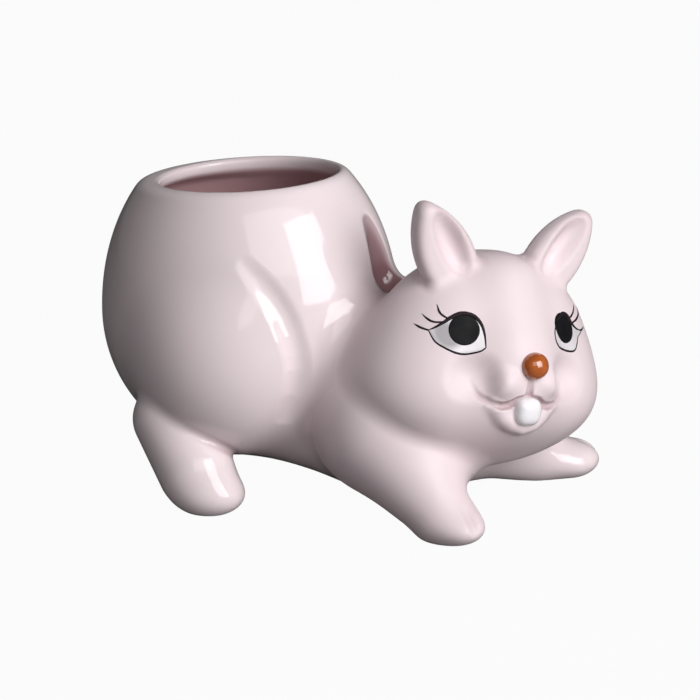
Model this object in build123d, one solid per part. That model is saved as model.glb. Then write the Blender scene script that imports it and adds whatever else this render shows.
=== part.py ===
from build123d import *
from dataclasses import dataclass
import math
import os

# An animal shaped planter: a crouching small animal in glazed stoneware, whose
# rump is the pot and whose head is turned to its right.
# Millimetres. +X is forward, towards the chest, +Y is the animal's left and +Z is up.
# The origin is on the ground, at the middle of the whole planter's outer box.
# The pieces are slip castings, luted to each other face to face before the glaze.

# Pot: a turned form, fuller than an ellipse, squeezed a little in plan and cut off at the rim
POT_HALF_LENGTH = 49.0
POT_HALF_WIDTH = 44.6
POT_BOTTOM_HEIGHT = 47.9
POT_CENTRE_HEIGHT = 57.2
POT_FULLNESS = 2.03
POT_WALL = 5.0
DRAIN_DIAMETER = 9.0

# Rim: it cuts the turned form at a share of the height that the form would close at
RIM_HEIGHT = 102.2
RIM_LEAN_DEGREES = 4.7
RIM_CROWN_SHARE = 0.7353
POT_TOP_HEIGHT = (RIM_HEIGHT - POT_CENTRE_HEIGHT) / RIM_CROWN_SHARE
RIM_OUTLINE_SHARE = (1 - RIM_CROWN_SHARE**POT_FULLNESS) ** (1 / POT_FULLNESS)

# Mouth: an oval hole that leaves the lip, with a short straight band under it
LIP_AT_ENDS = 4.6
LIP_AT_SIDES = 3.1
MOUTH_HALF_LENGTH = RIM_OUTLINE_SHARE * POT_HALF_LENGTH - LIP_AT_ENDS
MOUTH_HALF_WIDTH = RIM_OUTLINE_SHARE * POT_HALF_WIDTH - LIP_AT_SIDES
MOUTH_BAND = 5.0
BESIDE_OVAL_SHARE = 1.01
LIP_ROUND_SHARE = 0.48
LIP_INNER_ROUND_SHARE = 0.38
LIP_ROUND = LIP_ROUND_SHARE * min(LIP_AT_ENDS, LIP_AT_SIDES)
LIP_INNER_ROUND = LIP_INNER_ROUND_SHARE * min(LIP_AT_ENDS, LIP_AT_SIDES)

# Thigh lobes, one on each side of the pot; the place is in shares of the pot's halves
THIGH_HALF_LENGTH = 31.8
THIGH_HALF_WIDTH = 28.5
THIGH_HALF_HEIGHT = 33.6
THIGH_PLACE_SHARES = (0.045, 0.47, -0.17)

# Chest: a belly, two shoulders and a saddle that fills the crease beside the pot; the
# places are in shares of the pot and the chest
SHELL_WALL = 4.5
CHEST_HALF_LENGTH = 42.2
CHEST_HALF_WIDTH = 31.2
CHEST_HALF_HEIGHT = 30.1
CHEST_PLACE_SHARES = (0.962, 0.0, 0.578)
SADDLE_HALF_LENGTH = 39.6
SADDLE_HALF_WIDTH = 35.1
SADDLE_HALF_HEIGHT = 38.9
SADDLE_PLACE_SHARES = (0.403, 0.0, 0.812)
SHOULDER_HALF_LENGTH = 33.4
SHOULDER_HALF_WIDTH = 22.5
SHOULDER_HALF_HEIGHT = 33.8
SHOULDER_PLACE_SHARES = (0.271, 0.365, 0.124)
CHEST_VENT_DIAMETER = 4.0

# Head: the cranium is the head's own frame; places on it are in shares of its halves
CRANIUM_HALF_LENGTH = 26.5
CRANIUM_HALF_WIDTH = 38.2
CRANIUM_HALF_HEIGHT = 34.7
HEAD_PLACE_SHARES = (0.772, -0.083, 0.56)
HEAD_TURN_DEGREES = -38.6
HEAD_ROLL_DEGREES = -8.2
CHEEK_HALF_LENGTH = 28.4
CHEEK_HALF_WIDTH = 29.3
CHEEK_HALF_HEIGHT = 22.8
CHEEK_PLACE_SHARES = (-0.027, 0.346, -0.212)
JOWL_HALF_LENGTH = 27.8
JOWL_HALF_WIDTH = 35.9
JOWL_HALF_HEIGHT = 29.8
JOWL_PLACE_SHARES = (-0.005, 0.142, -0.117)
MUZZLE_HALF_LENGTH = 30.6
MUZZLE_HALF_WIDTH = 28.2
MUZZLE_HALF_HEIGHT = 26.7
MUZZLE_PLACE_SHARES = (0.109, 0.0, -0.107)
LOBE_HALF_LENGTH = 8.4
LOBE_HALF_WIDTH = 8.0
LOBE_HALF_HEIGHT = 7.6
LOBE_PLACE_SHARES = (0.951, 0.173, -0.052)
LIP_HALF_LENGTH = 5.6
LIP_HALF_WIDTH = 7.6
LIP_HALF_HEIGHT = 5.6
LIP_PLACE_SHARES = (1.004, 0.0, -0.392)
NECK_VENT_DIAMETER = 8.0

# Ears: pointed leaves with a scooped front
EAR_HALF_WIDTH = 9.4
EAR_REACH = 21.8
EAR_HALF_THICKNESS = 5.0
EAR_SPLAY_DEGREES = 33.5
EAR_PLACE_SHARES = (0.208, 0.514, 0.966)
EAR_SCOOP_SHARES = (0.9, 0.68, 0.56)
EAR_SCOOP_RISE_SHARE = 0.25

# Nose bead and tooth, seated on the muzzle
NOSE_HALF_LENGTH = 4.4
NOSE_HALF_WIDTH = 4.5
NOSE_HALF_HEIGHT = 4.3
NOSE_PLACE_SHARES = (1.226, 0.024, 0.164)
TOOTH_HALF_LENGTH = 4.4
TOOTH_HALF_WIDTH = 4.6
TOOTH_HALF_HEIGHT = 4.6
TOOTH_PLACE_SHARES = (1.2, 0.008, -0.248)

# Eyes: almonds of white enamel with round black pupils, fired onto the head
EYE_HALF_WIDTH = 9.0
EYE_HALF_HEIGHT = 6.3
EYE_TILT_DEGREES = 8.0
EYE_ACROSS_SHARE = 0.48
EYE_HEIGHT_SHARE = 0.42
PUPIL_RADIUS = 4.9
PUPIL_SHIFT_SHARES = (0.06, 0.14)
ENAMEL = 0.4

# Legs: tapered limbs with round ends, each on a flattened foot; turns are about +Z
FORELEG_ROOT_RADIUS = 19.6
FORELEG_END_RADIUS = 10.3
RIGHT_PAW_HALF_LENGTH = 11.5
RIGHT_PAW_HALF_WIDTH = 9.1
RIGHT_PAW_HALF_HEIGHT = 6.0
RIGHT_PAW_TURN_DEGREES = -32.0
LEFT_PAW_HALF_LENGTH = 10.7
LEFT_PAW_HALF_WIDTH = 10.7
LEFT_PAW_HALF_HEIGHT = 6.4
LEFT_PAW_TURN_DEGREES = 30.0
RIGHT_FORELEG_ROOT_SHARES = (0.243, -0.741, -0.137)
RIGHT_FORELEG_END_SHARES = (0.757, -1.06, 0.90)
RIGHT_PAW_SHARES = (0.895, -1.112)
LEFT_FORELEG_ROOT_SHARES = (0.365, 0.621, -0.34)
LEFT_FORELEG_END_SHARES = (0.92, 1.104, 0.92)
LEFT_PAW_SHARES = (1.151, 1.333)
HIND_LEG_ROOT_RADIUS = 12.6
HIND_LEG_END_RADIUS = 12.3
HIND_FOOT_HALF_LENGTH = 10.5
HIND_FOOT_HALF_WIDTH = 10.1
HIND_FOOT_HALF_HEIGHT = 6.8
HIND_LEG_ROOT_SHARES = (-0.267, 0.718, 0.476)
HIND_LEG_END_SHARES = (-0.027, 0.87, 1.05)
HIND_FOOT_SHARES = (0.084, 0.866)
SOLE_CUT = 0.6

# Overrun of a cutting tool past the face that it cuts
OVERRUN = 1.0

# Points along the pot's profile, and the lunes that each rounded form is made of
PROFILE_STEPS = 16
LUNES = 4


@dataclass(frozen=True)
class Halves:
    """Half sizes of a rounded form, along its own three axes."""

    length: float
    width: float
    height: float

    def place(self, shares, side=1):
        """The point at the given shares of the halves, mirrored in Y where side is -1."""
        across = side * shares[1] * self.width
        return Vector(shares[0] * self.length, across, shares[2] * self.height)


POT = Halves(POT_HALF_LENGTH, POT_HALF_WIDTH, POT_BOTTOM_HEIGHT)
THIGH = Halves(THIGH_HALF_LENGTH, THIGH_HALF_WIDTH, THIGH_HALF_HEIGHT)
CHEST = Halves(CHEST_HALF_LENGTH, CHEST_HALF_WIDTH, CHEST_HALF_HEIGHT)
SADDLE = Halves(SADDLE_HALF_LENGTH, SADDLE_HALF_WIDTH, SADDLE_HALF_HEIGHT)
SHOULDER = Halves(SHOULDER_HALF_LENGTH, SHOULDER_HALF_WIDTH, SHOULDER_HALF_HEIGHT)
CRANIUM = Halves(CRANIUM_HALF_LENGTH, CRANIUM_HALF_WIDTH, CRANIUM_HALF_HEIGHT)
CHEEK = Halves(CHEEK_HALF_LENGTH, CHEEK_HALF_WIDTH, CHEEK_HALF_HEIGHT)
JOWL = Halves(JOWL_HALF_LENGTH, JOWL_HALF_WIDTH, JOWL_HALF_HEIGHT)
MUZZLE = Halves(MUZZLE_HALF_LENGTH, MUZZLE_HALF_WIDTH, MUZZLE_HALF_HEIGHT)
LOBE = Halves(LOBE_HALF_LENGTH, LOBE_HALF_WIDTH, LOBE_HALF_HEIGHT)
LOWER_LIP = Halves(LIP_HALF_LENGTH, LIP_HALF_WIDTH, LIP_HALF_HEIGHT)
NOSE = Halves(NOSE_HALF_LENGTH, NOSE_HALF_WIDTH, NOSE_HALF_HEIGHT)
TOOTH = Halves(TOOTH_HALF_LENGTH, TOOTH_HALF_WIDTH, TOOTH_HALF_HEIGHT)
RIGHT_PAW = Halves(RIGHT_PAW_HALF_LENGTH, RIGHT_PAW_HALF_WIDTH, RIGHT_PAW_HALF_HEIGHT)
LEFT_PAW = Halves(LEFT_PAW_HALF_LENGTH, LEFT_PAW_HALF_WIDTH, LEFT_PAW_HALF_HEIGHT)
HIND_FOOT = Halves(HIND_FOOT_HALF_LENGTH, HIND_FOOT_HALF_WIDTH, HIND_FOOT_HALF_HEIGHT)

POT_CENTRE = Vector(0, 0, POT_CENTRE_HEIGHT)
GROUND_SCALE = Halves(POT_HALF_LENGTH, POT_HALF_WIDTH, POT_CENTRE_HEIGHT)
CHEST_CENTRE = GROUND_SCALE.place(CHEST_PLACE_SHARES)
SADDLE_CENTRE = GROUND_SCALE.place(SADDLE_PLACE_SHARES)
HEAD_CENTRE = CHEST_CENTRE + CHEST.place(HEAD_PLACE_SHARES)
HEAD_FRAME = Pos(HEAD_CENTRE) * Rot(0, 0, HEAD_TURN_DEGREES) * Rot(HEAD_ROLL_DEGREES, 0, 0)
SIDES = {"right": -1, "left": 1}
RIGHT_LEG = (RIGHT_FORELEG_ROOT_SHARES, RIGHT_FORELEG_END_SHARES)
LEFT_LEG = (LEFT_FORELEG_ROOT_SHARES, LEFT_FORELEG_END_SHARES)
FORELEGS = {
    "right": (*RIGHT_LEG, RIGHT_PAW, RIGHT_PAW_SHARES, RIGHT_PAW_TURN_DEGREES),
    "left": (*LEFT_LEG, LEFT_PAW, LEFT_PAW_SHARES, LEFT_PAW_TURN_DEGREES),
}
UPWARD = (Align.CENTER, Align.CENTER, Align.MIN)
DOWNWARD = (Align.CENTER, Align.CENTER, Align.MAX)


def ellipsoid(centre, halves, grow=0, turn_degrees=0):
    """A solid ellipsoid made of equal lunes, grown outwards by a length and turned about +Z."""
    by = (halves.length + grow, halves.width + grow, halves.height + grow)
    lune_degrees = 360 / LUNES
    lunes = []
    for count in range(LUNES):
        wedge = Rot(0, 0, (count + 1 / 2) * lune_degrees) * Sphere(1, arc_size3=lune_degrees, align=None)
        lunes.append(scale(wedge.faces().filter_by(GeomType.SPHERE)[0], by=by))
    return Pos(centre) * Rot(0, 0, turn_degrees) * Solid(Shell(lunes))


def limb(start, end, start_radius, end_radius):
    """A tapered limb with a ball at each end, its sides tangent to both balls."""
    run = end - start
    far = run.length
    lean = math.asin((start_radius - end_radius) / far)
    rise, reach = math.cos(lean), math.sin(lean)
    root, tip = (0, -start_radius), (0, far + end_radius)
    leave = (start_radius * rise, start_radius * reach)
    arrive = (end_radius * rise, far + end_radius * reach)
    root_half, tip_half = (math.pi / 2 + lean) / 2, (math.pi / 2 - lean) / 2
    root_mid = (start_radius * math.sin(root_half), -start_radius * math.cos(root_half))
    tip_mid = (end_radius * math.sin(tip_half), far + end_radius * math.cos(tip_half))
    outline = ThreePointArc(root, root_mid, leave) + Line(leave, arrive)
    outline += ThreePointArc(arrive, tip_mid, tip)
    profile = Plane.XZ * make_face(outline + Line(tip, root))
    return Plane(start, z_dir=run) * revolve(profile, Axis.Z)


def below_ground():
    """Everything that a sole has to lose: a slab under the ground plane."""
    reach = 2 * (POT_HALF_LENGTH + CHEST_HALF_LENGTH + CRANIUM_HALF_WIDTH)
    return Box(2 * reach, 2 * reach, reach, align=DOWNWARD)


def turned_form(grow):
    """The pot's turned form, grown outwards by a length."""
    length = POT_HALF_LENGTH + grow
    points = []
    for step in range(PROFILE_STEPS + 1):
        angle = math.pi * (step / PROFILE_STEPS - 1 / 2)
        across = max(math.cos(angle), 0) ** (2 / POT_FULLNESS)
        up = abs(math.sin(angle)) ** (2 / POT_FULLNESS)
        height = POT_TOP_HEIGHT + grow if angle > 0 else -POT_BOTTOM_HEIGHT - grow
        points.append((across * length, up * height))
    points[-1] = (0, POT_TOP_HEIGHT + grow)
    curve = Spline(points, tangents=[(1, 0), (-1, 0)])
    profile = Plane.XZ * make_face(curve + Line(points[-1], points[0]))
    squeeze = (POT_HALF_WIDTH + grow) / length
    return Pos(POT_CENTRE) * scale(revolve(profile, Axis.Z), by=(1, squeeze, 1))


def rim_plane():
    """The leaning plane of the pot's lip."""
    return Plane(Pos(0, 0, RIM_HEIGHT) * Rot(0, -RIM_LEAN_DEGREES, 0))


def above(plane, height=0):
    """A block over a plane, from a height above it, as wide as the pot needs."""
    reach = 2 * (POT_HALF_LENGTH + POT_TOP_HEIGHT)
    block = Box(reach, reach, reach, align=UPWARD)
    return plane * Pos(0, 0, height) * block


def pot_outside():
    """The pot's outside with its two thigh lobes, cut off along the rim."""
    form = turned_form(0)
    for side in SIDES.values():
        form += ellipsoid(POT_CENTRE + POT.place(THIGH_PLACE_SHARES, side), THIGH)
    return form - above(rim_plane())


def pot_cavity():
    """The planting cavity: a hollow under the lip, the mouth's band and the drain hole."""
    rim = rim_plane()
    hollow = turned_form(-POT_WALL) - above(rim, -MOUTH_BAND)
    oval = Ellipse(MOUTH_HALF_LENGTH, MOUTH_HALF_WIDTH)
    mouth = rim * Pos(0, 0, OVERRUN) * extrude(oval, -(OVERRUN + POT_TOP_HEIGHT / 2))
    drain = Cylinder(DRAIN_DIAMETER / 2, POT_CENTRE_HEIGHT, align=UPWARD)
    return hollow + mouth + drain


def lip_edges(body, at_mouth):
    """The edges in the rim's plane: the mouth's own oval, or the lip's outer edge."""
    rim = rim_plane()
    found = []
    for edge in body.edges():
        point = rim.to_local_coords(edge.position_at(1 / 3))
        share = math.hypot(point.X / MOUTH_HALF_LENGTH, point.Y / MOUTH_HALF_WIDTH)
        in_plane = abs(point.Z) < LIP_ROUND / 10
        if in_plane and (share < BESIDE_OVAL_SHARE) == at_mouth:
            found.append(edge)
    return found


def pot_body():
    """The pot: the only piece that holds soil, with a rounded lip."""
    body = pot_outside() - pot_cavity()
    body = fillet(lip_edges(body, False), LIP_ROUND)
    return fillet(lip_edges(body, True), LIP_INNER_ROUND)


def chest_form(grow=0):
    """The belly, the saddle and the two shoulders, grown outwards by a length."""
    form = ellipsoid(CHEST_CENTRE, CHEST, grow) + ellipsoid(SADDLE_CENTRE, SADDLE, grow)
    for side in SIDES.values():
        form += ellipsoid(CHEST_CENTRE + CHEST.place(SHOULDER_PLACE_SHARES, side), SHOULDER, grow)
    return form


def head_form(grow=0):
    """The cranium, muzzle, jowls, cheeks, lip lobes and lower lip, grown outwards by a length."""
    form = skull_form(grow) + ellipsoid(CRANIUM.place(LIP_PLACE_SHARES), LOWER_LIP, grow)
    for side in SIDES.values():
        form += ellipsoid(CRANIUM.place(LOBE_PLACE_SHARES, side), LOBE, grow)
    return HEAD_FRAME * form


def skull_form(grow):
    """The head's main rounded forms in its own frame, grown outwards by a length."""
    form = ellipsoid((0, 0, 0), CRANIUM, grow)
    form += ellipsoid(CRANIUM.place(MUZZLE_PLACE_SHARES), MUZZLE, grow)
    for side in SIDES.values():
        form += ellipsoid(CRANIUM.place(CHEEK_PLACE_SHARES, side), CHEEK, grow)
        form += ellipsoid(CRANIUM.place(JOWL_PLACE_SHARES, side), JOWL, grow)
    return form


def chest(outside, pot, head):
    """The chest: a shell that opens onto the pot's wall and the head, with a vent below."""
    vent = Cylinder(CHEST_VENT_DIAMETER / 2, CHEST_CENTRE.Z, align=DOWNWARD)
    return outside - pot - head - chest_form(-SHELL_WALL) - Pos(CHEST_CENTRE) * vent


def head(outside, pot):
    """The head: a closed shell, with a vent into the chest behind its seat."""
    vent = Cylinder(NECK_VENT_DIAMETER / 2, CRANIUM_HALF_HEIGHT + OVERRUN, align=DOWNWARD)
    return outside - pot - HEAD_FRAME * (skull_form(-SHELL_WALL) + vent)


def ear(side, head_outside):
    """An ear: a pointed leaf, thin at its edge, scooped in front and seated on the head."""
    radius = (EAR_HALF_WIDTH**2 + EAR_REACH**2) / (2 * EAR_HALF_WIDTH)
    shift = radius - EAR_HALF_WIDTH
    leaf = Halves(radius * EAR_HALF_THICKNESS / EAR_REACH, radius, radius)
    form = ellipsoid((0, shift, 0), leaf) & ellipsoid((0, -shift, 0), leaf)
    size = Halves(EAR_HALF_THICKNESS, EAR_HALF_WIDTH, EAR_REACH).place(EAR_SCOOP_SHARES)
    scoop = Halves(size.X, size.Y, size.Z)
    form -= ellipsoid((EAR_HALF_THICKNESS, 0, EAR_SCOOP_RISE_SHARE * EAR_REACH), scoop)
    root = HEAD_FRAME * Pos(CRANIUM.place(EAR_PLACE_SHARES, side))
    return root * Rot(-side * EAR_SPLAY_DEGREES, 0, 0) * form - head_outside


def bead(halves, shares, head_outside):
    """A rounded piece seated on the head's surface."""
    return HEAD_FRAME * ellipsoid(CRANIUM.place(shares), halves) - head_outside


def eye_frame(side):
    """The plane of an eye: on the cranium, square to it, its X away from the nose."""
    forward = math.sqrt(1 - EYE_ACROSS_SHARE**2 - EYE_HEIGHT_SHARE**2)
    point = CRANIUM.place((forward, EYE_ACROSS_SHARE, EYE_HEIGHT_SHARE), side)
    normal = Vector(point.X / CRANIUM.length**2, point.Y / CRANIUM.width**2, point.Z / CRANIUM.height**2)
    across = Vector(0, side, 0) - normal * (normal.Y * side / normal.length**2)
    return Plane(point, x_dir=across, z_dir=normal)


def enamel(outline, side, outer, inner):
    """A patch of enamel: the outline's part of a thin skin between two head forms."""
    reach = CRANIUM_HALF_LENGTH / 2
    column = HEAD_FRAME * (eye_frame(side) * extrude(outline, reach, both=True))
    return (outer & column) - inner


def eye_white(side, outer, inner):
    """The almond of white enamel, its outer corner a little higher."""
    radius = (EYE_HALF_WIDTH**2 + EYE_HALF_HEIGHT**2) / (2 * EYE_HALF_HEIGHT)
    shift = radius - EYE_HALF_HEIGHT
    almond = (Pos(0, shift) * Circle(radius)) & (Pos(0, -shift) * Circle(radius))
    return enamel(Rot(0, 0, side * EYE_TILT_DEGREES) * almond, side, outer, inner)


def pupil(side, outer, inner):
    """The round black pupil, on the white."""
    across = -PUPIL_SHIFT_SHARES[0] * EYE_HALF_WIDTH
    up = side * PUPIL_SHIFT_SHARES[1] * EYE_HALF_HEIGHT
    return enamel(Pos(across, up) * Circle(PUPIL_RADIUS), side, outer, inner)


def foot(centre_x, centre_y, halves, turn_degrees):
    """A flattened foot that dips under the ground by the depth that its sole loses."""
    centre = Vector(centre_x, centre_y, halves.height - SOLE_CUT)
    return ellipsoid(centre, halves, turn_degrees=turn_degrees)


def foreleg(root_shares, end_shares, paw, paw_shares, turn_degrees, neighbours):
    """A foreleg: a limb that leaves the shoulder and ends in a paw, with a flat sole."""
    root = CHEST_CENTRE + CHEST.place(root_shares)
    end = CHEST_CENTRE + CHEST.place((end_shares[0], end_shares[1], 0))
    end.Z = end_shares[2] * FORELEG_END_RADIUS
    form = limb(root, end, FORELEG_ROOT_RADIUS, FORELEG_END_RADIUS)
    paw_x = CHEST_CENTRE.X + paw_shares[0] * CHEST.length
    form += foot(paw_x, paw_shares[1] * CHEST.width, paw, turn_degrees)
    return form - below_ground() - neighbours


def hind_leg(side, neighbours):
    """A hind leg: a short limb under the thigh, with a flat sole."""
    root = GROUND_SCALE.place(HIND_LEG_ROOT_SHARES, side)
    end = GROUND_SCALE.place(HIND_LEG_END_SHARES, side)
    end.Z = HIND_LEG_END_SHARES[2] * HIND_LEG_END_RADIUS
    form = limb(root, end, HIND_LEG_ROOT_RADIUS, HIND_LEG_END_RADIUS)
    foot_y = side * HIND_FOOT_SHARES[1] * POT.width
    form += foot(HIND_FOOT_SHARES[0] * POT.length, foot_y, HIND_FOOT, 0)
    return form - below_ground() - neighbours


def build():
    """Every piece of the planter by its node's name, in the pot's own frame."""
    pot_outer = pot_outside()
    head_outer = head_form()
    chest_outer = chest_form()
    white_skin = head_form(ENAMEL)
    pupil_skin = head_form(2 * ENAMEL)
    trunk = pot_outer + chest_outer + head_outer
    pieces = {"pot_body": pot_body()}
    pieces["chest"] = chest(chest_outer, pot_outer, head_outer)
    pieces["head"] = head(head_outer, pot_outer)
    pieces["nose"] = bead(NOSE, NOSE_PLACE_SHARES, head_outer)
    pieces["tooth"] = bead(TOOTH, TOOTH_PLACE_SHARES, head_outer)
    for name, side in SIDES.items():
        pieces[name + "_ear"] = ear(side, head_outer)
        pieces[name + "_eye_white"] = eye_white(side, white_skin, head_outer)
        pieces[name + "_pupil"] = pupil(side, pupil_skin, white_skin)
        pieces[name + "_hind_leg"] = hind_leg(side, trunk)
    for name, places in FORELEGS.items():
        pieces[name + "_foreleg"] = foreleg(*places, trunk)
    return pieces


def main():
    """Build the pieces, move the origin under the outer box's middle and write each one."""
    os.makedirs("parts", exist_ok=True)
    pieces = build()
    solids = [solid for piece in pieces.values() for solid in piece.solids()]
    box = Compound(children=solids).bounding_box()
    print("outer box", box.min, box.max)
    for name, piece in pieces.items():
        solids = (Pos(-box.center().X, -box.center().Y, 0) * piece).solids()
        shape = solids[0] if len(solids) == 1 else Compound(children=list(solids))
        shape.label = name
        export_step(shape, "parts/" + name + ".step")
        print(name, len(solids), round(sum(solid.volume for solid in solids)))


main()
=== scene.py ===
"""Looks of an animal shaped planter: glazed castings, fired enamels, painted lids and lashes.

The castings share one closed skin, which is the smooth union of their rounded forms. Sizes are
in millimetres in the pot's own frame, whose origin is on the ground under the middle of the pot.
+X runs from the pot towards the chest, +Y is the animal's left and +Z is up.
"""

import logging
import math
from dataclasses import dataclass, field
from enum import Enum
from typing import Callable, Iterable, Sequence

import bmesh
import bpy
import numpy as np
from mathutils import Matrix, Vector

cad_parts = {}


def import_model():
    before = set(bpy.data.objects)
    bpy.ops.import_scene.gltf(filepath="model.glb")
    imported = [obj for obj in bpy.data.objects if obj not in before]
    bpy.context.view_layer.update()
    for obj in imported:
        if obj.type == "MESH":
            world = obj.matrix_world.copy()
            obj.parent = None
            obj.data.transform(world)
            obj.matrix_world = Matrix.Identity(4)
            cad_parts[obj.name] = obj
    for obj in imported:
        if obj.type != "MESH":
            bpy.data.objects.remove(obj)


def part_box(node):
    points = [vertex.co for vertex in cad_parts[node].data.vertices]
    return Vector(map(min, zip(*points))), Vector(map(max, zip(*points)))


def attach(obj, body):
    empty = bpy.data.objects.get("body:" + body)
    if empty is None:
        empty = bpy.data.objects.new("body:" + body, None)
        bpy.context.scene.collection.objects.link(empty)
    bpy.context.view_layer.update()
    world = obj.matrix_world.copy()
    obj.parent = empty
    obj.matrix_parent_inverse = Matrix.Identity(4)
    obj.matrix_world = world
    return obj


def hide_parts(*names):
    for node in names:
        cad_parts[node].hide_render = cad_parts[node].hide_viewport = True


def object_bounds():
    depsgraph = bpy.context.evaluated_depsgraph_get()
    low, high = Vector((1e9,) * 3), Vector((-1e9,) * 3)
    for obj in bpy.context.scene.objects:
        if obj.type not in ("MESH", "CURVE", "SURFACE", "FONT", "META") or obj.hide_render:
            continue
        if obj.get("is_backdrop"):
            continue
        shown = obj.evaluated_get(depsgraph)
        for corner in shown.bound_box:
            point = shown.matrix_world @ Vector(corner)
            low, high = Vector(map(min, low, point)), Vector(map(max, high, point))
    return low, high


Array = np.ndarray
Box = tuple[Array, Array]
Pair = tuple[float, float]
Triple = tuple[float, float, float]
Colour = tuple[float, float, float, float]
Object = bpy.types.Object
Material = bpy.types.Material

LOG = logging.getLogger("planter")
MM = 0.001
TINY = 1e-9
RIGHT, LEFT = -1, 1
SIDE_NAMES = {RIGHT: "right", LEFT: "left"}
PROBE = 0.02
CORNERS = np.array([[1, -1, -1], [-1, -1, 1], [-1, 1, -1], [1, 1, 1]], float)


def melt(first: Array, second: Array, width: float) -> Array:
    """The distances to two forms together, with the crease between them filled over a width."""
    share = np.maximum(width - np.abs(first - second), 0) / width
    return np.minimum(first, second) - share * share * width / 4


def carve(first: Array, second: Array, width: float) -> Array:
    """The distances to the first form less the second, with the edge rounded over a width."""
    return -melt(-first, second, width)


def turn_matrix(yaw: float, roll: float = 0.0) -> Array:
    """The axes of a frame that is rolled about its own X and then turned about Z.

    Args:
        yaw: turn about +Z in degrees.
        roll: roll about +X in degrees.

    Returns:
        A 3 by 3 matrix whose columns are the frame's axes.
    """
    yaw, roll = math.radians(yaw), math.radians(roll)
    turned = np.array([[math.cos(yaw), -math.sin(yaw), 0], [math.sin(yaw), math.cos(yaw), 0], [0, 0, 1]])
    rolled = np.array([[1, 0, 0], [0, math.cos(roll), -math.sin(roll)], [0, math.sin(roll), math.cos(roll)]])
    return turned @ rolled


def mirrored_path(path: Iterable[Triple]) -> tuple[Triple, ...]:
    """The same places on the other side of the XZ plane."""
    return tuple((x, -y, z) for x, y, z in path)


def sloped(measure: Callable[[Array], Array], points: Array) -> tuple[Array, Array]:
    """What is measured at points, and its gradients.

    Args:
        measure: gives one value a point, or several rows of them.
        points: places, one row each.

    Returns:
        The values, and one gradient for each of them.
    """
    values = np.stack([measure(points + PROBE * corner) for corner in CORNERS])
    return values.mean(0), np.einsum("c...,cx->...x", values, CORNERS) / (len(CORNERS) * PROBE)


class Form:
    """A solid shape that is known by the distance of points to its surface, negative inside."""

    def distance(self, points: Array) -> Array:
        """The distances of points, one row each, to the surface."""
        raise NotImplementedError

    def extent(self) -> Box:
        """The lowest and the highest corner of a box that holds the form."""
        raise NotImplementedError

    def slope(self, points: Array) -> tuple[Array, Array]:
        """The distances of points and their gradients."""
        return sloped(self.distance, points)

    def normals(self, points: Array) -> Array:
        """The unit normals of points on the surface."""
        gradient = self.slope(points)[1]
        return gradient / np.maximum(np.linalg.norm(gradient, axis=1, keepdims=True), TINY)


def joint_box(forms: Iterable[Form]) -> Box:
    """The box that holds several forms."""
    boxes = np.array([form.extent() for form in forms])
    return boxes[:, 0].min(0), boxes[:, 1].max(0)


def pair(form: "Ellipsoid | Limb") -> tuple[Form, Form]:
    """A left form and its mirror image on the right."""
    return form, form.mirrored()


@dataclass(frozen=True)
class Ellipsoid(Form):
    """An ellipsoid, turned about +Z."""

    centre: Triple
    halves: Triple
    turn: float = 0.0

    def distance(self, points: Array) -> Array:
        """The distances to the ellipsoid.

        Args:
            points: places, one row each.

        Returns:
            One distance a place, true close to the surface.
        """
        halves = np.array(self.halves)
        local = points - np.array(self.centre)
        if self.turn:
            local = local @ turn_matrix(self.turn)
        ratio = local / halves
        reach = np.sqrt((ratio**2).sum(1))
        slope = np.sqrt(((ratio / halves) ** 2).sum(1))
        return np.where(slope > TINY, reach * (reach - 1) / np.maximum(slope, TINY), -halves.min())

    def extent(self) -> Box:
        """The box of the ellipsoid, whichever way it is turned."""
        span = np.array([max(self.halves[:2])] * 2 + [self.halves[2]])
        return np.array(self.centre) - span, np.array(self.centre) + span

    def mirrored(self) -> "Ellipsoid":
        """The same ellipsoid on the other side of the XZ plane."""
        return Ellipsoid(*mirrored_path([self.centre]), self.halves, -self.turn)


@dataclass(frozen=True)
class Limb(Form):
    """A tapered limb with a ball at each end."""

    start: Triple
    end: Triple
    start_radius: float
    end_radius: float

    def distance(self, points: Array) -> Array:
        """The distances to the limb.

        Args:
            points: places, one row each.

        Returns:
            One distance a place.
        """
        run = np.array(self.end) - np.array(self.start)
        length2 = run @ run
        taper = self.start_radius - self.end_radius
        rest = length2 - taper * taper
        local = points - np.array(self.start)
        along = local @ run
        beyond = along - length2
        across2 = ((local * length2 - along[:, None] * run) ** 2).sum(1)
        split = math.copysign(1, taper) * taper * taper * across2
        side = (np.sqrt(across2 * rest / length2) + along * taper) / length2 - self.start_radius
        at_start = np.sqrt(across2 + along * along * length2) / length2 - self.start_radius
        at_end = np.sqrt(across2 + beyond * beyond * length2) / length2 - self.end_radius
        is_start = np.sign(along) * rest * along * along * length2 < split
        is_end = np.sign(beyond) * rest * beyond * beyond * length2 > split
        return np.where(is_end, at_end, np.where(is_start, at_start, side))

    def extent(self) -> Box:
        """The box of the limb's two balls."""
        ends, radii = np.array([self.start, self.end]), np.array([[self.start_radius], [self.end_radius]])
        return (ends - radii).min(0), (ends + radii).max(0)

    def mirrored(self) -> "Limb":
        """The same limb on the other side of the XZ plane."""
        return Limb(*mirrored_path((self.start, self.end)), self.start_radius, self.end_radius)


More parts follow.
